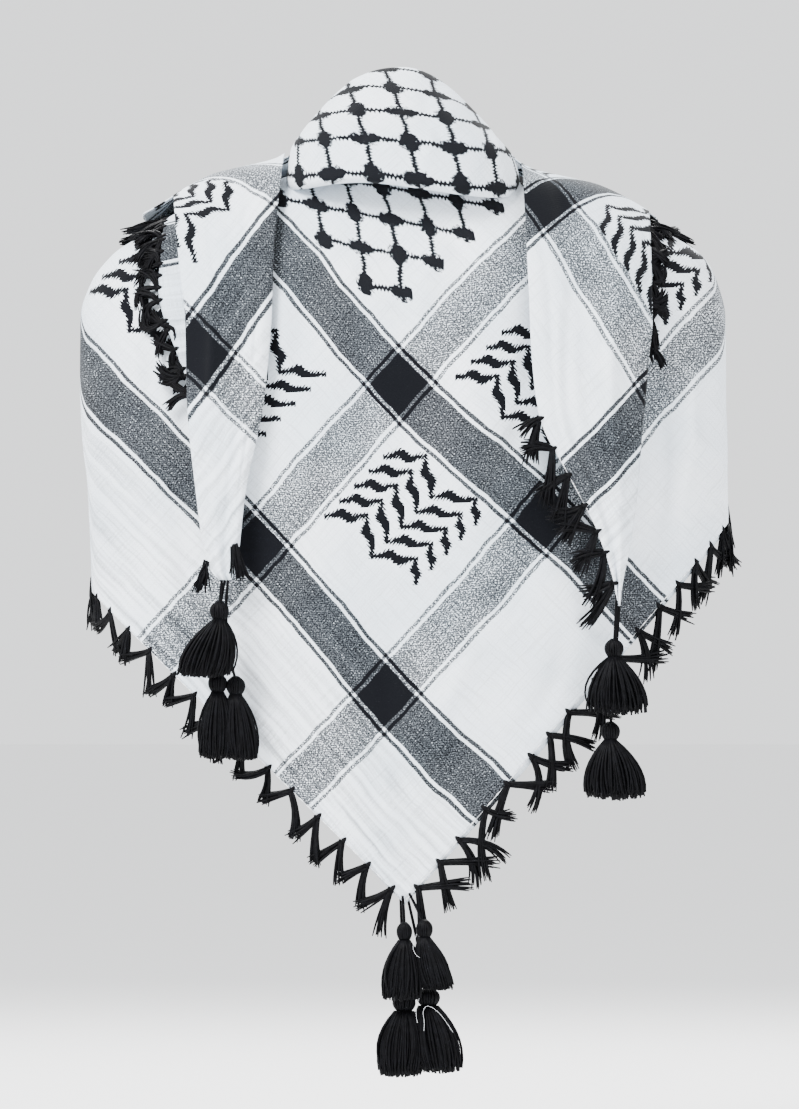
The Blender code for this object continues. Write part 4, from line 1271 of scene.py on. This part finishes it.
WHITE = (0.773, 0.82, 0.876)
cotton = cloth_material("cotton_look", WHITE)
tails = cloth_material("tail_cotton_look", WHITE, LONG_LAST)
# The under layers' cotton: the same cloth, with its white painted a little darker as painted shade for lying
# beneath the other layers.
inner = cloth_material("inner_cotton_look", (0.725, 0.78, 0.84))
thread = plain_material("hem_thread", (0.78, 0.8, 0.83), 0.9)
yarn = yarn_material()

right_tail = tail_shape(RIGHT_TAIL, RIGHT_LIFT, 0, HEM_CURL, FOLD_CURL, PLEAT)
left_tail = tail_shape(LEFT_TAIL, LEFT_LIFT, 0, FOLD_CURL, HEM_CURL * 2, PLEAT)
right_under = tail_shape(RIGHT_UNDER, UNDER_LIFT, UNDER_START, 0, 0, 0)
left_under = tail_shape(LEFT_UNDER, UNDER_LIFT, UNDER_START, 0, 0, 0)


def top_rows(shape):
    """x and flat height along a tail's top edge."""
    _, (x, up) = spread(shape, 40, 60)
    return x[0], up[0]


lay_left_tail = lay_by(LEFT_TAIL_LAY, LEFT_TAIL_SHIFT)
lay_right_tail = lay_by(RIGHT_TAIL_LAY, RIGHT_TAIL_SHIFT)
left_wrap = wrap_shape(-1, "under", top_rows(left_tail))
right_wrap = wrap_shape(1, "over", top_rows(right_tail))

# Each stretch: its shape, how the square lies there, its grid, its finish, and what it rests on.
CLOTHS = {
    "front_drape": (front_shape, lay_front, 200, 170, cotton, "under_drape"),
    # The under drape and the tails' under layers wear the cotton with painted shade.
    "under_drape": (under_shape, lay_front, 80, 50, inner, "front_drape"),
    "left_wing": (wing_shape(-1), lay_wing, 80, 80, cotton, "front_drape"),
    "right_wing": (wing_shape(1), lay_wing, 80, 80, cotton, "front_drape"),
    "neck_cowl": (cowl_shape, lay_cowl, 160, 110, cotton, "front_drape"),
    "left_wrap": (left_wrap, lay_left_tail, 40, 150, tails, "left_wing"),
    "right_wrap": (right_wrap, lay_right_tail, 40, 150, tails, "left_wrap"),
    "left_tail": (left_tail, lay_left_tail, 60, 110, tails, "left_tail_under"),
    "right_tail": (right_tail, lay_right_tail, 60, 110, tails, "right_tail_under"),
    "left_tail_under": (left_under, lay_by(LEFT_UNDER_LAY), 24, 70, inner, "front_drape"),
    "right_tail_under": (right_under, lay_by(RIGHT_UNDER_LAY), 24, 70, inner, "front_drape"),
}
# Each side of the rolled hem is a piece of its own, and so is each fringe.
trims = {node: [] for node in CLOTHS}
for edge in EDGES:
    shape = CLOTHS[edge.cloth][0]
    trims[edge.cloth].append(fringe(edge, shape, yarn))
    trims[edge.cloth].append(hem(edge, shape, yarn if "under" in edge.cloth else thread))
hangs_from = {"left": left_tail, "right": right_tail, "tip": front_shape}
carries = {"left": "left_tail", "right": "right_tail", "tip": "front_drape"}
for row in TASSELS:
    corner = row.name.split("_")[0]
    foot = at_places(hangs_from[corner], np.linspace(0, 1, 3), np.ones(3))[1]
    trims[carries[corner]].append(tassel(row, foot[1], yarn))
trims["left_tail"].append(tufts(left_tail, yarn))
lowest = at_places(front_shape, np.full(3, 0.5), np.ones(3))[1]
trims["front_drape"].append(stray_threads(lowest[1], thread))
for node, (shape, lay, across, along, finish, rests_on) in CLOTHS.items():
    cloth = shell(node, shape, lay, across, along, finish)
    width, length, area = cut_of(shape, across, along)

# ---- Floor, light and camera.

FLOOR_Z = -0.7
bpy.ops.mesh.primitive_plane_add(size=40, location=(0, 0, FLOOR_Z))
floor = bpy.context.object
floor.name = "floor"
floor.data.materials.append(plain_material("pale_floor", (0.93, 0.93, 0.93), 0.9))

world = bpy.data.worlds.new("studio")
world.use_nodes = True
sky = world.node_tree.nodes["Background"]
sky.inputs["Color"].default_value = (0.97, 0.985, 1.0, 1)
sky.inputs["Strength"].default_value = 1.65
bpy.context.scene.world = world


def lamp(name, place, aim, size, power):
    """A square lamp turned towards a point."""
    light = bpy.data.lights.new(name, "AREA")
    light.size = size
    light.energy = power
    obj = bpy.data.objects.new(name, light)
    bpy.context.scene.collection.objects.link(obj)
    obj.location = place
    way = np.array(aim, float) - np.array(place, float)
    yaw = math.atan2(way[1], way[0]) - math.pi / 2
    pitch = math.atan2(way[2], math.hypot(way[0], way[1]))
    obj.rotation_euler = (math.pi / 2 + pitch, 0, yaw)


lamp("key", (-1.5, -1.7, 1.7), (0, 0, -0.15), 1.1, 250)
lamp("fill", (1.8, -1.8, 0.4), (0, 0, -0.2), 2.0, 58)
lamp("back", (0.3, 2.0, 1.6), (0, 0, 0), 1.6, 150)

PIXEL = 0.00075  # metres of the scarf's front to a pixel of the 799 x 1109 frame
FRAME = (799, 1109)
ORIGIN = (403.0, 235.0)  # the pixel of the frame at the part's origin
REACH = 9.0  # the camera's distance from the front of the scarf
FRONT_Y = -0.1
FILM = 36.0  # the height of the camera's sensor, in millimetres
camera = bpy.data.cameras.new("camera")
camera.sensor_fit = "VERTICAL"
camera.sensor_height = FILM
camera.lens = FILM * REACH / (FRAME[1] * PIXEL)
eye = bpy.data.objects.new("camera", camera)
bpy.context.scene.collection.objects.link(eye)
middle_x = (FRAME[0] / 2 - ORIGIN[0]) * PIXEL
middle_z = (ORIGIN[1] - FRAME[1] / 2) * PIXEL
eye.location = (middle_x, FRONT_Y - REACH, middle_z)
eye.rotation_euler = (math.pi / 2, 0, 0)
bpy.context.scene.camera = eye
